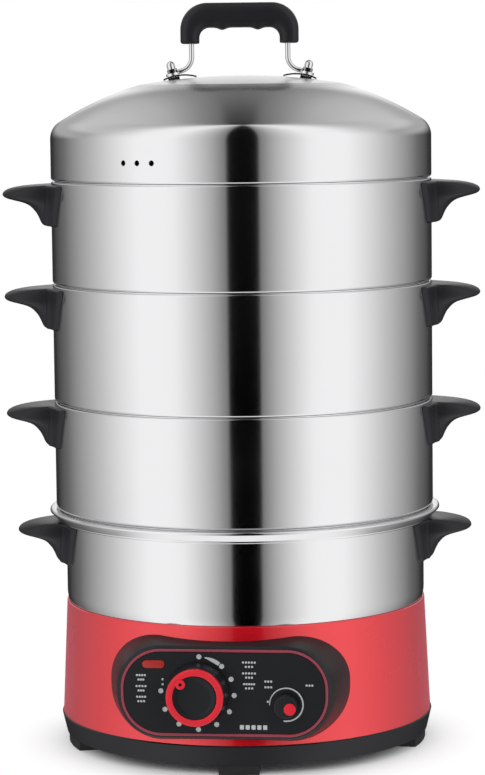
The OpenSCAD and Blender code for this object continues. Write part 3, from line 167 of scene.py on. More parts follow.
def lathe(profile: Sequence[Point], segments: int, centre: Matrix | None = None, closed: bool = True) -> Shape:
    """Turns an outline about an axis.

    Args:
        profile: Points as (radius, height).
        segments: Steps round the axis.
        centre: Placement of the axis.
        closed: Whether the outline closes on itself.

    Returns:
        The working mesh.
    """
    shape = bmesh.new()
    turns = [tau * k / segments for k in range(segments)]
    rings = [
        [shape.verts.new((r * cos(turn), r * sin(turn), z)) for turn in turns]
        if r >= MERGE else [shape.verts.new((0, 0, z))]
        for r, z in profile
    ]
    for low, high in list(zip(rings, rings[1:])) + ([(rings[-1], rings[0])] if closed else []):
        if len(low) == 1 and len(high) == 1:
            continue
        for k in range(segments):
            corners = [low[k % len(low)], low[(k + 1) % len(low)], high[(k + 1) % len(high)], high[k % len(high)]]
            face = list(dict.fromkeys(corners))
            if len(face) > 2:
                shape.faces.new(face)
    if centre is not None:
        bmesh.ops.transform(shape, matrix=centre, verts=shape.verts)
    return shape


def skin(loops: Sequence[Sequence[Vector]], ends: bool = True) -> Shape:
    """Joins closed loops of equal length, in order, into a shape.

    Args:
        loops: The loops.
        ends: Whether the first and the last loop are filled.

    Returns:
        The working mesh.
    """
    shape = bmesh.new()
    rings = [[shape.verts.new(point) for point in loop] for loop in loops]
    for low, high in zip(rings, rings[1:]):
        for k in range(len(low)):
            n = (k + 1) % len(low)
            shape.faces.new([low[k], low[n], high[n], high[k]])
    if ends:
        shape.faces.new(list(reversed(rings[0])))
        shape.faces.new(rings[-1])
    return shape


def arc(x: float, y: float, radius: float, start: float, end: float, steps: int = 8) -> list[Point]:
    """Points of an arc about a centre, from one angle to another in degrees."""
    turns = (radians(start + (end - start) * k / steps) for k in range(steps + 1))
    return [(x + radius * cos(turn), y + radius * sin(turn)) for turn in turns]


def rounded_outline(width: float, height: float, radius: float, steps: int) -> list[Point]:
    """Outline of a rectangle with round corners, anticlockwise.

    Args:
        width: Width of the rectangle.
        height: Height of the rectangle.
        radius: Radius of its corners.
        steps: Segments in each corner.

    Returns:
        Points of the outline.
    """
    out: list[Point] = []
    for start, (sx, sy) in zip((0, 90, 180, 270), ((1, 1), (-1, 1), (-1, -1), (1, -1))):
        out += arc(sx * (width / 2 - radius), sy * (height / 2 - radius), radius, start, start + 90, steps)
    return out


def slab(width: float, height: float, radius: float, low: float, high: float, bevel: float,
         place: Matrix, steps: int = 16) -> Shape:
    """Slab with round corners and a rounded front edge; sizes in millimetres.

    Args:
        width: Width of the slab.
        height: Height of the slab.
        radius: Radius of its corners.
        low: Level of its back.
        high: Level of its front.
        bevel: Rounding of its front edge.
        place: Where it stands.
        steps: Segments in each corner.

    Returns:
        The working mesh.
    """
    def loop(inset: float, z: float) -> list[Vector]:
        """Outline drawn in from the edge at a height."""
        outline = rounded_outline(width - 2 * inset, height - 2 * inset, radius - inset, steps)
        return [place @ Vector((x * MM, y * MM, z * MM)) for x, y in outline]

    turns = (radians(22.5 * k) for k in range(5))
    edge = [loop(bevel * (1 - cos(t)), high - bevel + bevel * sin(t)) for t in turns]
    return skin([loop(0, low), *edge])


# NODE TREES


@dataclass
class Tree:
    """Short way to write a node tree."""

    tree: NodeTree  # The tree under construction

    def feed(self, node: Node, values: dict[str, object]) -> None:
        """Sets or links inputs of a node.

        Args:
            node: The node.
            values: Values or sockets, by the name or the number of the input.
        """
        for name, value in values.items():
            socket = node.inputs[int(name) if name.isdigit() else name]
            if isinstance(value, Socket):
                self.tree.links.new(value, socket)
            else:
                socket.default_value = value

    def node(self, kind: str, **values: object) -> Node:
        """Adds a node and sets it up.

        Args:
            kind: Type of the node.
            values: Properties by name; inputs as in_NAME or in_NUMBER.

        Returns:
            The node.
        """
        made = self.tree.nodes.new(kind)
        for key, value in values.items():
            if not key.startswith("in_"):
                setattr(made, key, value)
        self.feed(made, {key[3:]: value for key, value in values.items() if key.startswith("in_")})
        return made

    def group(self, group: NodeTree, **values: object) -> Socket:
        """Adds a node group.

        Args:
            group: The group.
            **values: Values or sockets for its inputs.

        Returns:
            The socket of its result.
        """
        made = self.node("ShaderNodeGroup", node_tree=group)
        self.feed(made, values)
        return made.outputs["Result"]

    def place(self, space: str = "Object") -> Socket:
        """Place of the shaded point."""
        return self.node("ShaderNodeTexCoord").outputs[space]

    def math(self, operation: str, a: object, b: object = 0.0) -> Socket:
        """Adds a Math node on one or two values and returns its result."""
        return self.node("ShaderNodeMath", operation=operation, in_0=a, in_1=b).outputs[0]

    def step(self, value: Socket, low: float, high: float) -> Socket:
        """Smooth step of a value from 0 at one limit to 1 at the other."""
        return self.node("ShaderNodeMapRange", interpolation_type="SMOOTHSTEP", in_Value=value, in_1=low,
                         in_2=high).outputs["Result"]

    def blend(self, share: object, a: object, b: object) -> Socket:
        """Mixes two values by a share."""
        return self.node("ShaderNodeMix", data_type="FLOAT", in_0=share, in_2=a, in_3=b).outputs[0]

    def ramp(self, value: Socket, stops: Sequence[Point]) -> Socket:
        """Reads a level from a table.

        Args:
            value: Place at which it is read.
            stops: Places and levels of the table.

        Returns:
            The socket of the level.
        """
        ramp = self.node("ShaderNodeValToRGB", in_0=value)
        elements = ramp.color_ramp.elements
        while len(elements) < len(stops):
            elements.new(0.5)
        for element, (place, _) in zip(elements, stops):
            element.position = place
        for element, (_, level) in zip(elements, stops):
            element.color = (level, level, level, 1)
        return ramp.outputs["Color"]


def new_group(name: str, inputs: dict[str, str], result: str, kind: str = "ShaderNodeTree") -> tuple[Tree, dict, Node]:
    """Starts a node group.

    Args:
        name: Name of the group.
        inputs: Kind of each input by its name.
        result: Kind of its one output.
        kind: Type of its tree.

    Returns:
        The tree, the sockets of its inputs by name and its output node.
    """
    group = bpy.data.node_groups.new(name, kind)
    for label, socket in inputs.items():
        group.interface.new_socket(label, in_out="INPUT", socket_type=f"NodeSocket{socket}")
    group.interface.new_socket("Result", in_out="OUTPUT", socket_type=f"NodeSocket{result}")
    tree = Tree(group)
    sockets = tree.node("NodeGroupInput").outputs
    return tree, {label: sockets[label] for label in inputs}, tree.node("NodeGroupOutput")


def new_material(name: str) -> tuple[Material, Tree, Node]:
    """Starts a material.

    Args:
        name: Name of the material.

    Returns:
        The material, its tree and its shader.
    """
    material = bpy.data.materials.new(name)
    material.use_nodes = True
    shader = next(node for node in material.node_tree.nodes if node.type == "BSDF_PRINCIPLED")
    return material, Tree(material.node_tree), shader


# FINISHES


def grain_group() -> NodeTree:
    """Fine relief of brushing or moulding: height over the surface, stretched along the axes.

    Returns:
        The node group.
    """
    tree, given, end = new_group("surface_grain", {"Scale": "Float", "Stretch": "Vector"}, "Float")
    drawn = tree.node("ShaderNodeVectorMath", operation="MULTIPLY", in_0=tree.place(), in_1=given["Stretch"])
    noise = tree.node("ShaderNodeTexNoise", in_Vector=drawn.outputs[0], in_Scale=given["Scale"], in_Detail=3.0)
    tree.feed(end, {"Result": noise.outputs["Fac"]})
    return tree.tree


def mottle_group() -> NodeTree:
    """Slow change of a value over the surface, such as roughness where hands have rubbed.

    Returns:
        The node group.
    """
    tree, given, end = new_group("surface_mottle", {"Scale": "Float", "Low": "Float", "High": "Float"}, "Float")
    noise = tree.node("ShaderNodeTexNoise", in_Vector=tree.place(), in_Scale=given["Scale"], in_Detail=4.0,
                      in_Roughness=0.6)
    span = tree.node("ShaderNodeMapRange", in_Value=noise.outputs["Fac"], in_1=0.3, in_2=0.7, in_3=given["Low"],
                     in_4=given["High"])
    tree.feed(end, {"Result": span.outputs["Result"]})
    return tree.tree


def shade_group() -> NodeTree:
    """Slow shift between two shades of one colour.

    Returns:
        The node group.
    """
    tree, given, end = new_group("surface_shade", {"Scale": "Float", "Colour": "Color", "Other": "Color"}, "Color")
    noise = tree.node("ShaderNodeTexNoise", in_Vector=tree.place(), in_Scale=given["Scale"], in_Detail=2.0)
    mix = tree.node("ShaderNodeMix", data_type="RGBA", in_0=noise.outputs["Fac"], in_A=given["Colour"],
                    in_B=given["Other"])
    tree.feed(end, {"Result": mix.outputs["Result"]})
    return tree.tree


@dataclass(frozen=True)
class Finish:
    """A surface: its colour, gloss and relief."""

    name: str  # Name of the material
    colour: Colour  # Colour, linear
    shift: float  # Share by which the second shade differs
    rough: tuple[float, float]  # Lowest and highest roughness
    mottle: float  # Patches per metre of the roughness
    grain: float  # Features per metre of the relief
    depth: float  # Depth of the relief in metres
    stretch: tuple[float, float, float] = (1.0, 1.0, 1.0)  # Stretch of the relief along X, Y and Z

    def constants(self) -> dict[str, object]:
        """Values set on the shader's own sockets."""
        return {}

    def roughness(self, tree: Tree, level: Socket) -> Socket:
        """Socket of the roughness, from its mottled level."""
        return level

    def build(self, groups: dict[str, NodeTree]) -> Material:
        """Makes the material.

        Args:
            groups: The shared node groups by name.

        Returns:
            The material.
        """
        material, tree, shader = new_material(self.name)
        other = (c * (1 - self.shift) for c in self.colour)
        shade = tree.group(groups["shade"], Scale=self.mottle, Colour=(*self.colour, 1), Other=(*other, 1))
        level = tree.group(groups["mottle"], Scale=self.mottle, Low=self.rough[0], High=self.rough[1])
        grain = tree.group(groups["grain"], Scale=self.grain, Stretch=self.stretch)
        bump = tree.node("ShaderNodeBump", in_Height=grain, in_Distance=self.depth, in_Strength=1.0)
        tree.feed(shader, {
            **self.constants(), "Base Color": shade, "Roughness": self.roughness(tree, level),
            "Normal": bump.outputs["Normal"],
        })
        return material


@dataclass(frozen=True)
class MetalFinish(Finish):
    """Bare or plated metal."""

    satin_top: float = 0.0  # Roughness added where the surface faces straight up
    satin_from: float = 0.93  # Height of the normal at which the added roughness starts
    satin_full: float = 0.965  # Height of the normal at which it is full

    def constants(self) -> dict[str, object]:
        """Values of a metal surface."""
        return {"Metallic": 1.0}

    def roughness(self, tree: Tree, level: Socket) -> Socket:
        """Roughness of bright metal, higher where the surface faces up.

        Args:
            tree: Tree of the material.
            level: Socket of the roughness so far.

        Returns:
            The socket of the roughness.
        """
        if not self.satin_top:
            return level
        axes = tree.node("ShaderNodeSeparateXYZ", in_0=tree.node("ShaderNodeNewGeometry").outputs["Normal"])
        up = tree.step(axes.outputs["Z"], self.satin_from, self.satin_full)
        return tree.math("ADD", level, tree.math("MULTIPLY", up, self.satin_top))


@dataclass(frozen=True)
class PlasticFinish(Finish):
    """Moulded plastic or rubber."""

    specular: float = 0.5  # Level of the plain reflection

    def constants(self) -> dict[str, object]:
        """Values of a moulded surface."""
        return {"Specular IOR Level": self.specular}


@dataclass(frozen=True)
class LacquerFinish(Finish):
    """Metallic paint under a clear coat, with a pale sheen towards the edges."""

    flake: float = 0.55  # Share of metal flake
    coat: tuple[float, float] = (0.1, 1.7)  # Roughness and refraction of the clear coat
    sheen: tuple[float, float] = (0.8, 0.4)  # Weight and roughness of the sheen
    tint: Colour = (1.0, 0.25, 0.32)  # Colour of the sheen

    def constants(self) -> dict[str, object]:
        """Values of a lacquered surface.

        Returns:
            Values by the name of the shader's socket.
        """
        return {
            "Metallic": self.flake, "Coat Weight": 1.0, "Coat Roughness": self.coat[0], "Coat IOR": self.coat[1],
            "Sheen Weight": self.sheen[0], "Sheen Roughness": self.sheen[1], "Sheen Tint": (*self.tint, 1),
        }


@dataclass(frozen=True)
class GlassFinish(Finish):
    """Clear or tinted glass."""

    def constants(self) -> dict[str, object]:
        """Values of a clear body."""
        return {"Transmission Weight": 1.0, "IOR": 1.5}


class Slot(Enum):
    """Material slots of the record, each with its finish."""

    STEEL = MetalFinish(
        "satin_steel", (0.88, 0.88, 0.89), 0.02, (0.08, 0.11), 9, 60, 1e-6, (0.6, 0.6, 28.0), satin_top=0.22)
    BRIGHT_STEEL = MetalFinish("polished_steel", (0.9, 0.9, 0.9), 0.03, (0.08, 0.16), 30, 900, 1e-6)
    RED_PAINT = LacquerFinish("red_lacquer", (0.87, 0.003, 0.015), 0.06, (0.24, 0.3), 10, 700, 2e-6)
    BRIGHT_RED = PlasticFinish("red_plastic", (0.62, 0.006, 0.02), 0.08, (0.25, 0.36), 40, 1200, 3e-6)
    TRIM_RED = PlasticFinish("trim_plastic", (0.26, 0.035, 0.06), 0.1, (0.3, 0.42), 30, 1500, 3e-6)
    LENS_RED = PlasticFinish("lens_plastic", (0.38, 0.02, 0.016), 0.2, (0.15, 0.25), 60, 400, 2e-5)
    BLACK_PLASTIC = PlasticFinish(
        "black_plastic", (0.011, 0.011, 0.014), 0.15, (0.32, 0.42), 26, 2200, 6e-6, specular=0.34)
    PANEL_BLACK = PlasticFinish("panel_black", (0.009, 0.01, 0.012), 0.1, (0.24, 0.32), 16, 2600, 3e-6, specular=0.35)
    BEZEL_GREY = PlasticFinish("bezel_plastic", (0.011, 0.013, 0.014), 0.12, (0.3, 0.4), 22, 2000, 5e-6, specular=0.3)
    ALUMINIUM = MetalFinish("mill_aluminium", (0.75, 0.76, 0.78), 0.06, (0.3, 0.42), 20, 120, 5e-6, (1.0, 12.0, 1.0))
    CERAMIC = PlasticFinish("pale_ceramic", (0.8, 0.77, 0.7), 0.05, (0.5, 0.6), 30, 1500, 1e-5)
    RUBBER_BLACK = PlasticFinish("black_rubber", (0.014, 0.014, 0.015), 0.2, (0.6, 0.75), 40, 1800, 2e-5, specular=0.4)
    WIRE_BROWN = PlasticFinish("brown_sleeve", (0.13, 0.05, 0.025), 0.1, (0.4, 0.5), 30, 1500, 5e-6)
    LAMP_GLASS = GlassFinish("lamp_glass", (0.9, 0.6, 0.4), 0.05, (0.03, 0.08), 30, 300, 2e-6)
    SCALE_PRINT = PlasticFinish("scale_print", (0.44, 0.46, 0.46), 0.1, (0.4, 0.5), 80, 3000, 2e-6)


# STUDIO


# Light round the part: angle from the front in degrees and level, a black flag first, then the soft boxes
BOX_LEVELS = (
    (0, 0.0), (9.4, 0.0), (9.8, 0.19), (13, 0.25), (18, 0.386), (26, 0.558), (33, 0.70), (41, 0.84), (48, 0.87),
    (65, 0.87), (74, 0.78), (84, 0.66), (94, 0.53), (105, 0.41), (118, 0.28), (133, 0.135), (157, 0.03), (180, 0.02),
)
BOX_FULL = 0.88  # Level that is drawn as full white
# Light from above: distance from the middle and level
OVERHEAD_LEVELS = (
    (0, 0.15), (0.05, 0.17), (0.1, 0.24), (0.15, 0.34), (0.21, 0.48), (0.3, 0.58), (0.6, 0.62), (1, 0.6),
)


@dataclass(frozen=True)
class Studio:
    """Pale floor, even light and a camera at the photograph's angle."""

    distance: float = 2.286  # Distance from the stack's axis to the camera
    height: float = 0.520  # Height of the camera
    pitch: float = 5.99  # Downward tilt in degrees
    roll: float = 0.65  # Turn of the picture, anticlockwise, in degrees
    lens: float = 134.2  # Focal length in millimetres
    shift: float = -1 / 775  # Shift of the picture to the side, as a share of its longer side
    floor_r: float = 1.6  # Radius of the floor
    shadow: tuple[float, float] = (0.115, 0.19)  # Distances between which the floor fades into the white background
    lamps: tuple = (  # Name, place, size and power of each lamp
        ("lamp_left", (-1.7, -2.0, 1.5), 1.8, 19.0),
        ("lamp_right", (1.8, -1.9, 1.3), 1.8, 17.0),
        ("lamp_top", (0.0, 0.2, 2.4), 2.2, 20.0),
    )
    aim: tuple[float, float, float] = (0.0, 0.0, 0.28)  # Point that the lamps shine at
    ambient: float = 0.78  # Level of the light on what isn't glossy

    def add_camera(self) -> None:
        """Places the camera."""
        data = bpy.data.cameras.new("camera")
        data.lens, data.sensor_width, data.clip_start, data.shift_x = self.lens, 36.0, 0.05, self.shift
        camera = bpy.data.objects.new("camera", data)
        tilt = Matrix.Rotation(radians(90 - self.pitch), 4, "X")
        turn = Matrix.Rotation(radians(-self.roll), 4, "Z")
        camera.matrix_world = Matrix.Translation((0, AXIS_Y - self.distance, self.height)) @ tilt @ turn
        scene = bpy.context.scene
        scene.collection.objects.link(camera)
        scene.camera = camera
        scene.view_settings.view_transform = "Standard"

    def add_floor(self) -> None:
        """Lays a pale floor that fades into the white background."""
        material, tree, shader = new_material("pale_floor")
        tree.feed(shader, {"Base Color": (0.9, 0.9, 0.9, 1), "Roughness": 0.9})
        reach = tree.node("ShaderNodeVectorMath", operation="LENGTH", in_0=tree.place()).outputs["Value"]
        white = tree.node("ShaderNodeEmission", in_Strength=1.0)
        mix = tree.node("ShaderNodeMixShader", in_0=tree.step(reach, *self.shadow), in_1=shader.outputs[0],
                        in_2=white.outputs[0])
        out = next(node for node in tree.tree.nodes if node.type == "OUTPUT_MATERIAL")
        tree.feed(out, {"Surface": mix.outputs[0]})
        disc = lathe([(0, 0), (self.floor_r, 0)], 96, closed=False)
        floor = add_object("studio_floor", finish_mesh("studio_floor", disc), material)
        if floor.data.polygons[0].normal.z < 0:
            floor.data.flip_normals()
        floor.visible_glossy = False

    def add_lamps(self) -> None:
        """Hangs large soft lamps that give form to the plastic and the paint."""
        for name, place, size, power in self.lamps:
            data = bpy.data.lights.new(name, "AREA")
            data.shape, data.size, data.energy = "SQUARE", size, power
            lamp = bpy.data.objects.new(name, data)
            aim = Vector(self.aim) - Vector(place)
            lamp.matrix_world = Matrix.Translation(place) @ aim.to_track_quat("-Z", "Y").to_matrix().to_4x4()
            lamp.visible_glossy = False
            bpy.context.scene.collection.objects.link(lamp)

    def add_world(self) -> None:
        """Surrounds the part with white, and with soft boxes and black flags for what is glossy."""
        world = bpy.data.worlds.new("studio")
        bpy.context.scene.world = world
        world.use_nodes = True
        world.node_tree.nodes.clear()
        tree = Tree(world.node_tree)
        x, y, z = tree.node("ShaderNodeSeparateXYZ", in_0=tree.place("Generated")).outputs
        side = tree.math("ABSOLUTE", x)
        # Boxes on both sides of a flag that stands a little to the right
        aside = tree.math("ABSOLUTE", tree.math("SUBTRACT", x, 0.016))
        turn = tree.math("DIVIDE", tree.math("ARCTAN2", aside, tree.math("MULTIPLY", y, -1.0)), pi)
        level = tree.ramp(turn, [(angle / 180, light / BOX_FULL) for angle, light in BOX_LEVELS])
        # Backdrop behind the part, brightest in the middle, up to the edge of the overhead light
        middle = tree.math("MULTIPLY", tree.step(side, 0.14, 0.06), tree.step(z, -0.005, 0.03))
        behind = tree.math("MULTIPLY", tree.step(y, 0.1, 0.6), tree.math("MAXIMUM", middle, tree.step(z, 0.0, 0.2)))
        behind = tree.math("MULTIPLY", behind, tree.step(z, 0.6, 0.42))
        level = tree.blend(behind, level, tree.blend(tree.step(side, 0.05, 0.2), 1.25, 0.42))
        # Bright table below
        level = tree.blend(tree.step(z, -0.7, -0.88), level, 0.95)
        # Overhead light, dim along the middle at the back
        dim = tree.math("MULTIPLY", tree.step(side, 0.075, 0.03), tree.step(y, 0.75, 0.35))
        above = tree.math("MULTIPLY", tree.ramp(side, OVERHEAD_LEVELS), tree.blend(dim, 1.0, 0.3))
        high = tree.math("MULTIPLY", tree.step(z, 0.3, 0.5), tree.step(y, -0.6, 0.8))
        shine = tree.blend(high, level, above)
        path = tree.node("ShaderNodeLightPath").outputs
        gloss = tree.math("MAXIMUM", path["Is Glossy Ray"], path["Is Transmission Ray"])
        strength = tree.blend(path["Is Camera Ray"], tree.blend(gloss, self.ambient, shine), 1.0)
        back = tree.node("ShaderNodeBackground", in_Strength=strength, in_Color=(1, 1, 1, 1))
        tree.node("ShaderNodeOutputWorld", in_Surface=back.outputs[0])


# PIECES


@dataclass(frozen=True)
class Piece:
    """What a visible piece is."""

    name: str  # Its name
    slot: Slot  # Slot of its finish
    body: Body  # Body it rides on
    node: str = ""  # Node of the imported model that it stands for, empty for none
    angle: float = SHARP  # Corner, in degrees, past which an edge stays sharp


@dataclass(frozen=True)
class Maker:
    """Adds pieces to the scene."""

    finishes: dict[Slot, Material]  # Materials by slot

    def add(self, piece: Piece, mesh: Mesh) -> None:
        """Adds a mesh as a piece that rides on its body.

        Args:
            piece: Name, finish and body of the piece.
            mesh: Its mesh, in place.
        """
        mesh.name = piece.name
        made = add_object(piece.name, mesh, self.finishes[piece.slot])
        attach(made, piece.body.value)
        if piece.node:
            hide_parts(piece.node)
        LOG.info("%s: %d faces on %s", piece.name, len(mesh.polygons), piece.body.value)

    def solid(self, piece: Piece, shape: Shape) -> None:
        """Adds a piece from a working mesh."""
        self.add(piece, finish_mesh(piece.name, shape, piece.angle))

    def baked(self, piece: Piece, made: Object, *helpers: Object) -> None:
        """Adds what an object's modifiers make as a piece, and removes the objects.

        Args:
            piece: Name, finish and body of the piece.
            made: The object with the modifiers.
            *helpers: Objects that its modifiers read.
        """
        graph = bpy.context.evaluated_depsgraph_get()
        graph.update()
        mesh = bpy.data.meshes.new_from_object(made.evaluated_get(graph))
        made.modifiers.clear()
        for spare in (made, *helpers):
            bpy.data.objects.remove(spare)
        self.add(piece, mesh)

    def repeated(self, piece: Piece, spots: Sequence[Matrix], unit: Shape) -> None:
        """Adds a piece that is one small shape on many spots, with Geometry Nodes.

        Args:
            piece: Name, finish and body of the piece.
            spots: Place of each copy.
            unit: The small shape.
        """
        pattern = add_object(f"{piece.name}_unit", finish_mesh(f"{piece.name}_unit", unit, piece.angle))
        points = bpy.data.meshes.new(f"{piece.name}_spots")
        points.from_pydata([spot.translation for spot in spots], [], [])
        turns = points.attributes.new("turn", "FLOAT_VECTOR", "POINT")
        for item, spot in zip(turns.data, spots):
            item.vector = spot.to_euler()
        holder = add_object(f"{piece.name}_spots", points)
        modifier = holder.modifiers.new("repeat", "NODES")
        modifier.node_group = self.repeat_tree()
        modifier[modifier.node_group.interface.items_tree["Shape"].identifier] = pattern
        self.baked(piece, holder, pattern)

    @staticmethod
    def repeat_tree() -> NodeTree:
        """Geometry Nodes tree that puts a shape on points, each with a turn of its own.

        Returns:
            The tree.
        """
        group = bpy.data.node_groups.get("repeat_on_spots")
        if group:
            return group
        tree, given, end = new_group(
            "repeat_on_spots", {"Geometry": "Geometry", "Shape": "Object"}, "Geometry", "GeometryNodeTree")
        shape = tree.node("GeometryNodeObjectInfo", in_Object=given["Shape"])
        turn = tree.node("GeometryNodeInputNamedAttribute", data_type="FLOAT_VECTOR", in_Name="turn")
        turned = tree.node("FunctionNodeEulerToRotation", in_0=turn.outputs["Attribute"])
        points = tree.node("GeometryNodeMeshToPoints", in_Mesh=given["Geometry"])
        copies = tree.node("GeometryNodeInstanceOnPoints", in_Points=points.outputs[0],
                           in_Instance=shape.outputs["Geometry"], in_Rotation=turned.outputs[0])
        real = tree.node("GeometryNodeRealizeInstances", in_Geometry=copies.outputs[0])
        tree.feed(end, {"Result": real.outputs[0]})
        return tree.tree


def around(angle: float, radius: float = 0.0, z: float = 0.0) -> Matrix:
    """Place at an angle in degrees about the stack's axis, at a radius and a height, X pointing outwards."""
    turn = Matrix.Rotation(radians(angle), 4, "Z")
    return Matrix.Translation((0, AXIS_Y, z)) @ turn @ Matrix.Translation((radius, 0, 0))


# Levels of a side handle from the top down: share of the height, share of the reach
HANDLE_LEVELS = (
    (0.0, 0.1), (0.004, 0.22), (0.012, 0.36), (0.022, 0.5), (0.035, 0.62), (0.05, 0.7), (0.068, 0.78), (0.09, 0.85),
    (0.115, 0.905), (0.14, 0.945), (0.165, 0.973), (0.2, 0.993), (0.235, 1.0), (0.27, 0.99), (0.3, 0.965), (0.33, 0.92),
    (0.36, 0.84), (0.39, 0.735), (0.425, 0.62), (0.46, 0.53), (0.5, 0.465), (0.55, 0.41), (0.6, 0.37), (0.67, 0.32),
    (0.74, 0.285), (0.8, 0.26), (0.87, 0.235), (0.92, 0.215), (0.955, 0.195), (0.98, 0.17), (0.993, 0.14), (1.0, 0.11),
)


@dataclass(frozen=True)
class SideHandles:
    """The pair of moulded side handles of a tier or of the pot."""

    reach: float = 38.5 * MM  # Reach of a lug beyond the wall
    height: float = 32.5 * MM  # Height of the handle
    half_width: float = 28.0 * MM  # Half width of the lug
    taper: float = 0.28  # Share by which the lug would narrow over the whole height
    taper_from: float = 0.3  # Share of the height at which it starts to
    brim: float = 2.6 * MM  # Rounding of the lug's top edge
    square: float = 2.7  # Squareness of the lug's plan; 2 is an ellipse
    flange: float = 3.0 * MM  # Thickness of the flange that wraps round the wall
    thin: Point = (0.3, 0.15)  # Share of that thickness at its top and foot, and at its ends
    flange_turn: float = 23.0  # Half of the angle the flange spans at its top
    flange_foot: float = 16.5  # Half of the angle the flange spans at its foot
    soft: float = 1.4 * MM  # Radius of the flange's edges
    corner: float = 3.5 * MM  # Radius of the flange's corners
    web: float = 3.2 * MM  # Thickness added where the lug leaves the flange
    web_width: float = 4 * MM  # Width over which that fades
    steps: int = 14  # Steps along half of the flange

    @staticmethod
    def round_off(depth: float, radius: float) -> float:
        """Share of a rounded edge reached at a depth below it."""
        return sqrt(max(1 - (1 - min(max(depth / radius, 0.0), 1.0)) ** 2, 0.0))

    def level(self, wall: float, top: float, drop: float, out: float) -> list[Vector]:
        """Outline of the handle at one level, on the +X side.

        Args:
            wall: Radius of the wall.
            top: Height of the handle's top.
            drop: Share of the height below the top.
            out: Share of the reach.

        Returns:
            The outline's points.
        """
        depth = drop * self.height
        rise = self.height - depth
        ends = min(self.round_off(depth, self.soft), self.round_off(rise, self.soft))
        corner = self.corner * (1 - min(self.round_off(depth, self.corner), self.round_off(rise, self.corner)))
        turn = radians(self.flange_turn + (self.flange_foot - self.flange_turn) * drop) - corner / wall
        half = self.half_width * (1 - self.taper * max(drop - self.taper_from, 0.0))
        half -= self.brim * (1 - self.round_off(depth, self.brim))
        border = wall * turn
        plate = self.flange * (self.thin[0] + (1 - self.thin[0]) * ends)
        curve: list[Point] = []
        for k in range(self.steps + 1):
            y = -border + (border - half) * (k / self.steps) ** 0.8
            web = self.web * ends * exp((y + half) / self.web_width)
            share = self.thin[1] + (1 - self.thin[1]) * self.round_off(border + y, self.soft)
            curve.append((plate * share + web, y))
        foot = curve[-1][0]
        power = 2 / self.square
        for k in range(1, CURVE_STEPS + 1):
            t = radians(90 * (1 - k / CURVE_STEPS))
            curve.append((max(self.reach * out * cos(t) ** power, foot), -half * sin(t) ** power))
        curve += [(x, -y) for x, y in reversed(curve[:-1])]

        def spot(radius: float, y: float, x: float = 0.0) -> Vector:
            """Point at a length along the wall and a reach, straight out for the lug."""
            turn, lean = y / wall, y / wall if abs(y) > half else 0.0
            return Vector((radius * cos(turn) + x * cos(lean), radius * sin(turn) + x * sin(lean), top - depth))

        return [spot(wall, y, x) for x, y in curve] + [spot(wall - 0.1 * MM, y) for _, y in reversed(curve)]

    def build(self, maker: Maker, prefix: str, wall: float, top: float, body: Body) -> None:
        """Adds both handles of one vessel.

        Args:
            maker: What adds the pieces.
            prefix: Name of the vessel.
            wall: Radius of its wall.
            top: Height of the top of its handles.
            body: Body that they ride on.
        """
        for side, turn in (("right", 0.0), ("left", 180.0)):
            shape = skin([self.level(wall, top, drop, out) for drop, out in HANDLE_LEVELS])
            bmesh.ops.transform(shape, matrix=around(turn), verts=shape.verts)
            name, node = f"{prefix}_grip_{side}", f"{prefix}_handle_{side}"
            maker.solid(Piece(name, Slot.BLACK_PLASTIC, body, node, 50.0), shape)


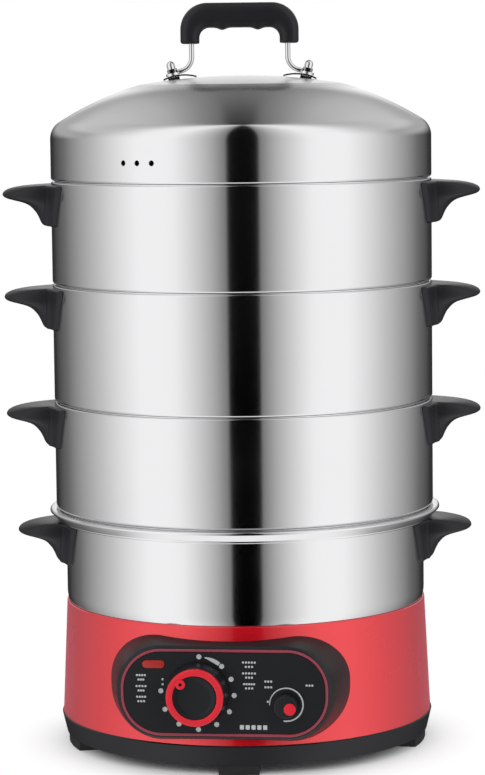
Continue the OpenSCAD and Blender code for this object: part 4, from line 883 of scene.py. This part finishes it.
@dataclass(frozen=True)
class LidGrip:
    """Moulded grip over the lid's wire."""

    length: float = 93 * MM  # Length over the ends
    height: float = 32 * MM  # Height from the feet to the top
    bar: float = 19.6 * MM  # Thickness of the bar
    width: float = 20 * MM  # Width, front to back
    leg: float = 15 * MM  # Width of a leg
    corner: float = 21 * MM  # Radius of the outer corners
    bend: float = 8 * MM  # Radius of the inner corners
    soft: float = 1.6 * MM  # Rounding of the feet
    toe: float = 0.75  # Share of the section that is left at the very foot
    square: float = 2.9  # Squareness of the section; 2 is an ellipse
    foot_z: float = 552.0 * MM  # Height of the feet of the legs
    bump: Point = (1.8 * MM, 3.6 * MM)  # Depth and half width of a finger bump
    bumps: Point = (-13.5 * MM, 14.5 * MM)  # Places of the finger bumps along the grip
    steps: tuple[int, int, int, int] = (8, 14, 20, 32)  # Steps up a leg, round a corner, along half the bar and across

    def edge(self, half: float, top: float, corner: float) -> list[Point]:
        """Edge of the left half of the grip, from the foot of a leg to the middle of the bar.

        Args:
            half: Half of the width over the legs.
            top: Height of the bar.
            corner: Radius of the corner.

        Returns:
            Points as (sideways, height).
        """
        up, bend, along, _ = self.steps
        leg = [(-half, (top - corner) * (k / up) ** 1.6) for k in range(up)]
        bar = [((corner - half) * (1 - k / along), top) for k in range(1, along + 1)]
        return [*leg, *arc(corner - half, top - corner, corner, 180, 90, bend), *bar]

    def section(self, outer: Point, inner: Point) -> list[Vector]:
        """Section of the grip.

        Args:
            outer: Point on its outer edge.
            inner: Point on its inner edge.

        Returns:
            Points round the section.
        """
        depth, spread = self.bump
        drop = depth * sum(exp(-(((inner[0] - place) / spread) ** 2)) for place in self.bumps)
        start = Vector((outer[0], AXIS_Y, self.foot_z + outer[1]))
        end = Vector((inner[0], AXIS_Y, self.foot_z + inner[1] - drop))
        middle, reach = (start + end) / 2, (start - end) / 2
        ends = sqrt(1 - (1 - min(max(middle.z - self.foot_z, 0.0) / self.soft, 1.0)) ** 2)
        ends = self.toe + (1 - self.toe) * ends
        power, points = 2 / self.square, []
        for k in range(self.steps[-1]):
            c, s = cos(tau * k / self.steps[-1]), sin(tau * k / self.steps[-1])
            across = Vector((0, copysign(abs(s) ** power, s) * self.width / 2, 0))
            points.append(middle + (reach * copysign(abs(c) ** power, c) + across) * ends)
        return points

    def build(self, maker: Maker) -> None:
        """Adds the grip.

        Args:
            maker: What adds the pieces.
        """
        outer = self.edge(self.length / 2, self.height, self.corner)
        inner = self.edge(self.length / 2 - self.leg, self.height - self.bar, self.bend)
        pairs = list(zip(outer, inner))
        pairs += [((-xo, zo), (-xi, zi)) for (xo, zo), (xi, zi) in reversed(pairs[:-1])]
        shape = skin([self.section(*pair) for pair in pairs])
        maker.solid(Piece("lid_grip_moulding", Slot.BLACK_PLASTIC, Body.LID, "lid_grip", 50.0), shape)


@dataclass(frozen=True)
class SheetWall:
    """Outline of a stacked steel piece: skirt, ledge, shoulder, wall and rolled hem."""

    wall: float = 150.0 * MM  # Radius of the wall
    skirt: float = 147.1 * MM  # Radius of the skirt that nests in the piece below
    ledge: float = 9.0 * MM  # Width of the ledge inside the skirt
    nest: float = 8.0 * MM  # Depth of the skirt below the seam
    shoulder: float = 2.6 * MM  # Radius of the shoulder above the seam
    hem: float = 1.2 * MM  # Radius of the rolled hem
    sheet: float = 0.8 * MM  # Thickness of the sheet
    gap: float = 0.7 * MM  # Gap at the seam

    def shell(self, seam: float, rest: Sequence[Point], steps: int = 8) -> list[Point]:
        """Closed outline of a piece that stands on a seam.

        Args:
            seam: Height of the seam.
            rest: Points above the shoulder, up the outside and down the inside.
            steps: Segments of the shoulder.

        Returns:
            Points as (radius, height).
        """
        t, foot, low = self.sheet, seam - self.nest, seam + self.gap + self.shoulder
        inner, bend = self.skirt - self.ledge, self.wall - self.shoulder
        return [
            (inner, foot + t), (inner, foot), *arc(self.skirt - t, foot + t, t, -90, 0, 4),
            (self.skirt, seam + self.gap), *arc(bend, low, self.shoulder, -90, 0, steps), *rest,
            *arc(bend, low, self.shoulder - t, 0, -90), (self.skirt - t, seam + self.gap + t),
            (self.skirt - t, foot + t),
        ]

    def tier(self, bottom: float, top: float) -> list[Point]:
        """Closed outline of a tier between two seams."""
        hem = arc(self.wall - self.hem, top - self.hem, self.hem, 0, 230, 14)
        return self.shell(bottom, [*hem, (self.wall - self.sheet, top - 2.3 * self.hem)])


@dataclass(frozen=True)
class SteelStack(SheetWall):
    """The three tiers and the water pot."""

    seams: tuple[float, ...] = (187.2 * MM, 272.0 * MM, 364.8 * MM, 445.7 * MM)  # Seams under the tiers and the lid
    pot_wall: float = 142.4 * MM  # Radius of the pot's wall
    mouth: float = 147.6 * MM  # Radius of the pot's mouth
    seat: float = 0.3 * MM  # Play under the skirt in the mouth
    lip: float = 155.0 * MM  # Radius of the pot's rim
    slope: float = 5.0 * MM  # Inward slope of the band under the rim
    band: float = 7.0 * MM  # Height of the band
    bead: float = 1.6 * MM  # Radius of the rim's edge
    base: float = 92.0 * MM  # Height of the pot's underside
    corner: float = 30.0 * MM  # Radius of the pot's bottom corner

    def pot(self) -> list[Point]:
        """Closed outline of the pot.

        Returns:
            Points as (radius, height).
        """
        t, top = self.sheet, self.seams[0]
        ledge, band = top - self.nest - self.seat, self.lip - self.slope
        bend, low = self.pot_wall - self.corner, self.base + self.corner
        return [
            (0.0, self.base), *arc(bend, low, self.corner, -90, 0, 16),
            *arc(self.pot_wall + 2 * t, ledge - 3 * t, 2 * t, 180, 90, 6), *arc(self.mouth, ledge, t, -90, 0, 4),
            (self.mouth + t, top - t), (self.lip - 1.4 * t, top - t), (band - t, top - self.band),
            *arc(band - t / 2, top - self.band, t / 2, 180, 360, 5),
            *arc(self.lip - self.bead, top - self.bead, self.bead, -18, 90),
            *arc(self.mouth + t, top - t, t, 90, 180, 4),
            (self.mouth, ledge), (self.pot_wall - t, ledge), *arc(bend, low, self.corner - t, 0, -90, 16),
            (0.0, self.base + t),
        ]

    def build(self, maker: Maker) -> None:
        """Adds the tiers and the pot.

        Args:
            maker: What adds the pieces.
        """
        bodies = (Body.LOWER, Body.MIDDLE, Body.UPPER)
        outlines = [(f"{body.value}_wall", body, body.value, self.tier(bottom, top))
                    for body, bottom, top in zip(bodies, self.seams, self.seams[1:])]
        for name, body, node, outline in (*outlines, ("pot_wall", Body.BASE, "pot", self.pot())):
            maker.solid(Piece(name, Slot.STEEL, body, node, 40.0), lathe(outline, ROUND_STEPS, around(0.0)))


@dataclass(frozen=True)
class LidShell(SheetWall):
    """The domed lid with its vent holes."""

    seam: float = 445.7 * MM  # Height of the seam under the lid
    side: float = 41.8 * MM  # Height of the wall
    corner: float = 16.0 * MM  # Radius of the corner between the wall and the cone
    cone: float = 33.0 * MM  # Height of the cone
    bulge: float = 0.44  # Share of the cone's height that its slope loses towards the ridge
    ridge: float = 79.0 * MM  # Radius of the ridge
    crown: float = 6.5 * MM  # Height of the raised middle above the ridge
    vent: float = 2.25 * MM  # Radius of a vent hole
    vent_turns: tuple[float, ...] = (26.4, 31.2, 36.0)  # Angles of the vent holes from the front
    vent_z: float = 16.7 * MM  # Height of the vent holes above the seam
    guards: tuple[float, ...] = (2.5 * MM, 3.2 * MM, 4.0 * MM)  # Distances of rings that keep the holes' shading apart
    drill: float = 6 * MM  # Half length of a drill
    sharp: float = 4.4  # Corner, in degrees, past which the shell's edges stay sharp
    steps: int = 20  # Steps across the crown
    rounds: int = 12  # Rounds that fit the corner to the cone

    def outside(self) -> list[Point]:
        """Outline of the outside, from the wall to the middle.

        Returns:
            Points as (radius, height).
        """
        width, share, slope = self.wall - self.ridge, 0.0, 0.0
        for _ in range(self.rounds):  # Each round brings the end of the corner closer to the slope there
            slope = atan((1 + self.bulge - 2 * self.bulge * share) * self.cone / width)
            share = self.corner * (1 - sin(slope)) / width
        base, turn = self.seam + self.side, pi / 2 - slope

        def rise(s: float) -> float:
            """Height of the cone at a share of the way from the wall to the ridge."""
            return base + self.cone * ((1 + self.bulge) * s - self.bulge * s ** 2)

        points = arc(self.wall - self.corner, rise(share) - self.corner * sin(turn), self.corner,
                     0, degrees(turn), CURVE_STEPS)
        shares = (share + (1 - share) * k / CURVE_STEPS for k in range(1, CURVE_STEPS + 1))
        points += [(self.wall - s * width, rise(s)) for s in shares]
        for k in range(1, self.steps + 1):
            r = self.ridge * (1 - k / self.steps)
            points.append((r, base + self.cone + self.crown * (1 - (r / self.ridge) ** 2)))
        return points

    def build(self, maker: Maker) -> None:
        """Adds the lid's shell.

        Args:
            maker: What adds the pieces.
        """
        height, outside = self.seam + self.vent_z, self.outside()
        inside = [(max(r - self.sheet, 0.0), z - self.sheet) for r, z in reversed(outside)]
        guards = [(self.wall, height + dz) for dz in (*(-dz for dz in reversed(self.guards)), *self.guards)]
        outline = self.shell(self.seam, [*guards, *outside, *inside], 14)
        mesh = finish_mesh("lid_blank", lathe(outline, ROUND_STEPS, around(0.0)), self.sharp)
        blank, shell = add_object("lid_blank", mesh), add_object("lid_cut", mesh.copy())
        drills = []
        for turn in self.vent_turns:
            place = around(-90 - turn, self.wall, height) @ Matrix.Rotation(radians(90), 4, "Y")
            hole = [(0, -self.drill), (self.vent, -self.drill), (self.vent, self.drill), (0, self.drill)]
            drill = finish_mesh("vent_drill", lathe(hole, CURVE_STEPS, place, closed=False))
            drills.append(add_object(f"vent_drill_{turn:.0f}", drill))
            cut = shell.modifiers.new("vent", "BOOLEAN")
            cut.operation, cut.solver, cut.object = "DIFFERENCE", "EXACT", drills[-1]
        # The shading of the uncut shell, so that the holes leave no marks round them
        shade = shell.modifiers.new("shade", "DATA_TRANSFER")
        shade.object, shade.use_loop_data = blank, True
        shade.data_types_loops, shade.loop_mapping = {"CUSTOM_NORMAL"}, "NEAREST_POLYNOR"
        maker.baked(Piece("lid_dome", Slot.STEEL, Body.LID, "lid_shell"), shell, blank, *drills)


@dataclass(frozen=True)
class ControlPanel:
    """Bezel, dial knobs and printed scales of the control panel."""

    turn: float = 6.5  # Turn of the panel about the stack in degrees
    face: float = 152 * MM  # Distance from the stack's axis to the face
    middle: float = 65.3 * MM  # Height of the middle of the panel
    width: float = 152 * MM  # Width of the face inside the trim
    height: float = 61.4 * MM  # Height of the face inside the trim
    corner: float = 28 * MM  # Radius of the face's corners
    grow: Point = (2.5 * MM, 4.4 * MM)  # Distance from the face's edge to the bezel's inner and outer edge
    soft: float = 2.2 * MM  # Rounding of the bezel's outer edge
    slope: float = 0.29  # Outward slope of the bezel per depth
    depth: float = 42 * MM  # Depth of the bezel behind the face
    pitch: float = 4 * MM  # Step along the bezel
    timer: Point = (-20.2 * MM, -0.3 * MM)  # Place of the timer knob on the face
    selector: Point = (46.9 * MM, -8.3 * MM)  # Place of the selector knob on the face
    lamp: Point = (-53.4 * MM, 21.4 * MM)  # Place of the lamp window on the face
    scale_r: float = 27.8 * MM  # Radius of the timer's scale
    lift: float = 0.02 * MM  # Height of the print's underside above the face

    def place(self, u: float, v: float, out: float = 0.0, turned: float = 0.0, up: float = 0.0) -> Matrix:
        """Place on the face: X to the right, Y up, Z out of it.

        Args:
            u: Distance to the right of the middle.
            v: Distance above the middle.
            out: Distance out of the face.
            turned: Clockwise turn in degrees.
            up: Distance along Y after the turn.

        Returns:
            The placement.
        """
        lean = Matrix.Translation((0, AXIS_Y, self.middle)) @ Matrix.Rotation(radians(-self.turn), 4, "Z")
        stand = Matrix.Translation((u, -self.face - out, v)) @ Matrix.Rotation(radians(90), 4, "X")
        return lean @ stand @ Matrix.Rotation(radians(-turned), 4, "Z") @ Matrix.Translation((0, up, 0))

    def loop(self, grow: float, out: float, pitch: float = inf) -> list[Vector]:
        """Outline round the face.

        Args:
            grow: Distance outside the face's edge.
            out: Distance out of the face.
            pitch: Step along its straight sides, about; infinite for none.

        Returns:
            Points of the outline.
        """
        outline = rounded_outline(self.width + 2 * grow, self.height + 2 * grow, self.corner + grow, CURVE_STEPS)
        points: list[Vector] = []
        for (x0, y0), (x1, y1) in zip(outline, outline[1:] + outline[:1]):
            steps = max(1, round(hypot(x1 - x0, y1 - y0) / pitch))
            points += [self.place(x0 + (x1 - x0) * k / steps, y0 + (y1 - y0) * k / steps, out).to_translation()
                       for k in range(steps)]
        return points

    def frames(self, maker: Maker) -> None:
        """Adds the bezel, with a soft edge and walls that flare to the housing, and the raised line on it.

        Args:
            maker: What adds the pieces.
        """
        inner, outer = self.grow
        edge = [(inner, -1.8 * MM), (inner, -0.2 * MM), (inner + 0.25 * MM, 0.0)]
        for k in range(1, 7):
            t = radians(90 * k / 6)
            drop = self.soft * (1 - cos(t))
            edge.append((outer - self.soft * (1 - sin(t)) + self.slope * drop, -drop))
        for k in range(1, 5):
            drop = self.soft + (self.depth - self.soft) * k / 4
            edge.append((outer + self.slope * drop, -drop))
        shape = skin([self.loop(grow, out, self.pitch) for grow, out in edge], ends=False)
        maker.solid(Piece("panel_surround", Slot.BEZEL_GREY, Body.BASE, "panel_bezel", 40.0), shape)
        # Distance outside the face's edge and out of the face, in millimetres
        line = ((0.4, -1.8), (0.4, 0.1), (0.75, 0.5), (2.15, 0.5), (2.5, 0.1), (2.5, -1.8))
        shape = skin([self.loop(grow * MM, out * MM) for grow, out in line], ends=False)
        maker.solid(Piece("panel_trim_line", Slot.TRIM_RED, Body.BASE, "panel_trim", 30.0), shape)

    def knobs(self, maker: Maker) -> None:
        """Adds the lamp window, the timer knob with its ring and pointer, and the selector knob.

        Args:
            maker: What adds the pieces.
        """
        window = slab(17, 6, 3, -3.4, 0.5, 0.45, self.place(*self.lamp))
        maker.solid(Piece("lamp_window", Slot.LENS_RED, Body.BASE, "lamp_lens"), window)
        timer, tab = self.place(*self.timer), self.place(*self.timer, turned=315, up=14.6 * MM)
        selector, spot = self.place(*self.selector), self.place(*self.selector, turned=113, up=3.8 * MM)
        # Name, finish, body, node, place, segments, steps of a rounding and corners of each turned part
        parts = (
            ("timer_knob_body", Slot.BLACK_PLASTIC, Body.TIMER, "timer_knob", timer, 128, 4,
             [(0, 0.8, 0), (24, 0.8, 0.8), (21.6, 15.5, 0.5), (0, 15.5, 0)]),
            ("timer_knob_ring", Slot.BRIGHT_RED, Body.TIMER, "timer_ring", timer, 160, 6,
             [(16.6, 15.4, 0), (21.7, 15.4, 0.3), (21.7, 19.5, 1.6), (16.6, 19.5, 1.1)]),
            ("timer_knob_cap", Slot.PANEL_BLACK, Body.TIMER, "timer_cap", timer, 128, 6,
             [(0, 15.4, 0), (16.4, 15.4, 0), (16.4, 19.0, 0.5), (12.5, 18.5, 3), (0, 18.2, 0)]),
            ("timer_knob_pointer", Slot.BRIGHT_RED, Body.TIMER, "timer_pointer", tab, 48, 4,
             [(1.3, 17.6, 0), (3.75, 17.6, 0), (3.75, 20.4, 0.8), (1.3, 20.4, 0.4)]),
            ("timer_pointer_eye", Slot.RUBBER_BLACK, Body.TIMER, "", tab, 32, 4,
             [(0, 17.7, 0), (1.35, 17.7, 0), (1.35, 18.9, 0), (0, 18.9, 0)]),
            ("selector_knob_body", Slot.BLACK_PLASTIC, Body.SELECTOR, "selector_knob", selector, 96, 5,
             [(0, 0.8, 0), (8.75, 0.8, 0.4), (8.6, 10, 1.0), (0, 10, 0)]),
            ("selector_knob_dot", Slot.BRIGHT_RED, Body.SELECTOR, "selector_dot", spot, 64, 4,
             [(0, 9.8, 0), (4.5, 9.8, 0), (4.5, 10.8, 0.5), (0, 10.8, 0)]),
        )
        for *labels, place, segments, steps, corners in parts:
            maker.solid(Piece(*labels), lathe(fillet(corners, steps), segments, place))

    def prints(self, maker: Maker) -> None:
        """Prints the dots of the timer's scale, its sweep, the selector's arc and plain blocks of bars.

        Args:
            maker: What adds the pieces.
        """
        def piece(name: str) -> Piece:
            """Printed piece."""
            return Piece(name, Slot.SCALE_PRINT, Body.BASE)

        u, v = self.timer
        turns = [radians(turn) for turn in (3, 42, 67, 93, 120, 149, 179, 211, 243, 273)]
        spots = [self.place(u + self.scale_r * sin(t), v + self.scale_r * cos(t), self.lift) for t in turns]
        corners = [(0, 0.1, 0), (0.9, 0.1, 0), (1.0, 0.16, 0), (1.9, 0.16, 0), (1.95, 0, 0), (0, 0, 0)]
        dot = lathe(fillet(corners), CURVE_STEPS)
        maker.repeated(piece("timer_scale_dots"), spots, dot)
        maker.solid(piece("timer_scale_sweep"), self.sweep(self.timer, self.scale_r, 12, 37, 0.25 * MM, 1.5 * MM))
        maker.solid(piece("selector_scale_arc"), self.sweep(self.selector, 12.6 * MM, -92, 190, 0.3 * MM, 0.55 * MM))
        # Middle and width of each row of small bars in millimetres
        rows = (
            (-63.0, 13.0, 8.0), (-63.0, 9.6, 5.5), (-63.0, 4.6, 9.0), (-63.0, 1.2, 5.5), (-63.0, -3.6, 8.0),
            (-63.0, -7.0, 6.5), (19.0, 23.5, 11.0), (19.0, 20.2, 7.0), (19.0, 15.2, 11.0), (19.0, 12.0, 6.5),
            (19.0, 7.0, 9.5), (19.0, 3.8, 7.0), (-46.5, 10.0, 3.0), (-46.5, 6.2, 3.0), (33.5, 9.2, 6.5),
            (33.5, 4.8, 6.5), (64.5, 6.5, 6.5), (33.0, -6.2, 1.0),
        )
        small, large = slab(1.5, 1.5, 0.3, 0, 0.1, 0.04, Matrix(), 2), slab(3.1, 3.4, 0.4, 0, 0.1, 0.04, Matrix(), 2)
        maker.repeated(piece("panel_label_bars"), self.bars(rows, 2.1), small)
        maker.repeated(piece("panel_heading_bars"), self.bars([(22.0, -26.0, 22.0)], 4.4), large)

    def bars(self, rows: Sequence[Corner], pitch: float) -> list[Matrix]:
        """Places of the bars in rows of print; sizes in millimetres.

        Args:
            rows: Middle and width of each row.
            pitch: Distance between its bars, about.

        Returns:
            Place of each bar.
        """
        spots: list[Matrix] = []
        for u, v, width in rows:
            count = max(1, round(width / pitch))
            spots += [self.place((u + (k - (count - 1) / 2) * width / count) * MM, v * MM, self.lift)
                      for k in range(count)]
        return spots

    def sweep(self, centre: Point, radius: float, start: float, end: float, thin: float, thick: float) -> Shape:
        """Printed arc that swells along its length.

        Args:
            centre: Place of its centre on the face.
            radius: Radius of its middle line.
            start: Clockwise angle from the top at which it starts, in degrees.
            end: Angle at which it ends.
            thin: Half width at its start.
            thick: Half width where it is widest.

        Returns:
            The working mesh.
        """
        (u, v), loops = centre, []
        steps = max(12, int(abs(end - start) / 4))
        for k in range(steps + 1):
            share = k / steps
            turn = radians(start + (end - start) * share)
            half = thin + (thick - thin) * sin(pi * min(share * 0.62 + 0.02, 1.0))
            corners = ((-half, 0.02), (half, 0.02), (half, 0.12), (-half, 0.12))
            loops.append([self.place(u + (radius + dr) * sin(turn), v + (radius + dr) * cos(turn), out * MM)
                          .to_translation() for dr, out in corners])
        return skin(loops)

    def build(self, maker: Maker) -> None:
        """Adds every piece of the panel.

        Args:
            maker: What adds the pieces.
        """
        self.frames(maker)
        self.knobs(maker)
        self.prints(maker)


# ASSEMBLY


def dress(frame: dict, finishes: dict[Slot, Material]) -> None:
    """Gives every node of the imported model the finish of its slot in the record.

    Args:
        finishes: Materials by slot.
    """
    slots = {part["node"]: part["material_slot"] for part in frame["record"]["subparts"]}
    for name, node in frame["nodes"].items():
        for place in node.material_slots:
            place.material = finishes[Slot[slots[name].upper()]]


def main() -> None:
    """Builds the steamer's looks and its studio."""
    logging.basicConfig(level=logging.INFO, format="%(message)s")
    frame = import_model()
    groups = {"grain": grain_group(), "mottle": mottle_group(), "shade": shade_group()}
    finishes = {slot: slot.value.build(groups) for slot in Slot}
    dress(frame, finishes)
    studio = Studio()
    for step in (studio.add_camera, studio.add_floor, studio.add_lamps, studio.add_world):
        step()
    maker, handles, steel = Maker(finishes), SideHandles(), SteelStack()
    drop = 2.2 * MM  # From the seam above a tier down to the top of its handles
    handles.build(maker, "pot", steel.pot_wall, 176.7 * MM, Body.BASE)
    for prefix, seam, body in zip(("lower", "middle", "upper"), steel.seams[1:], (Body.LOWER, Body.MIDDLE, Body.UPPER)):
        handles.build(maker, prefix, steel.wall, seam - drop, body)
    for part in (steel, LidShell(), LidGrip(), ControlPanel()):
        part.build(maker)


if __name__ == "__main__":
    main()
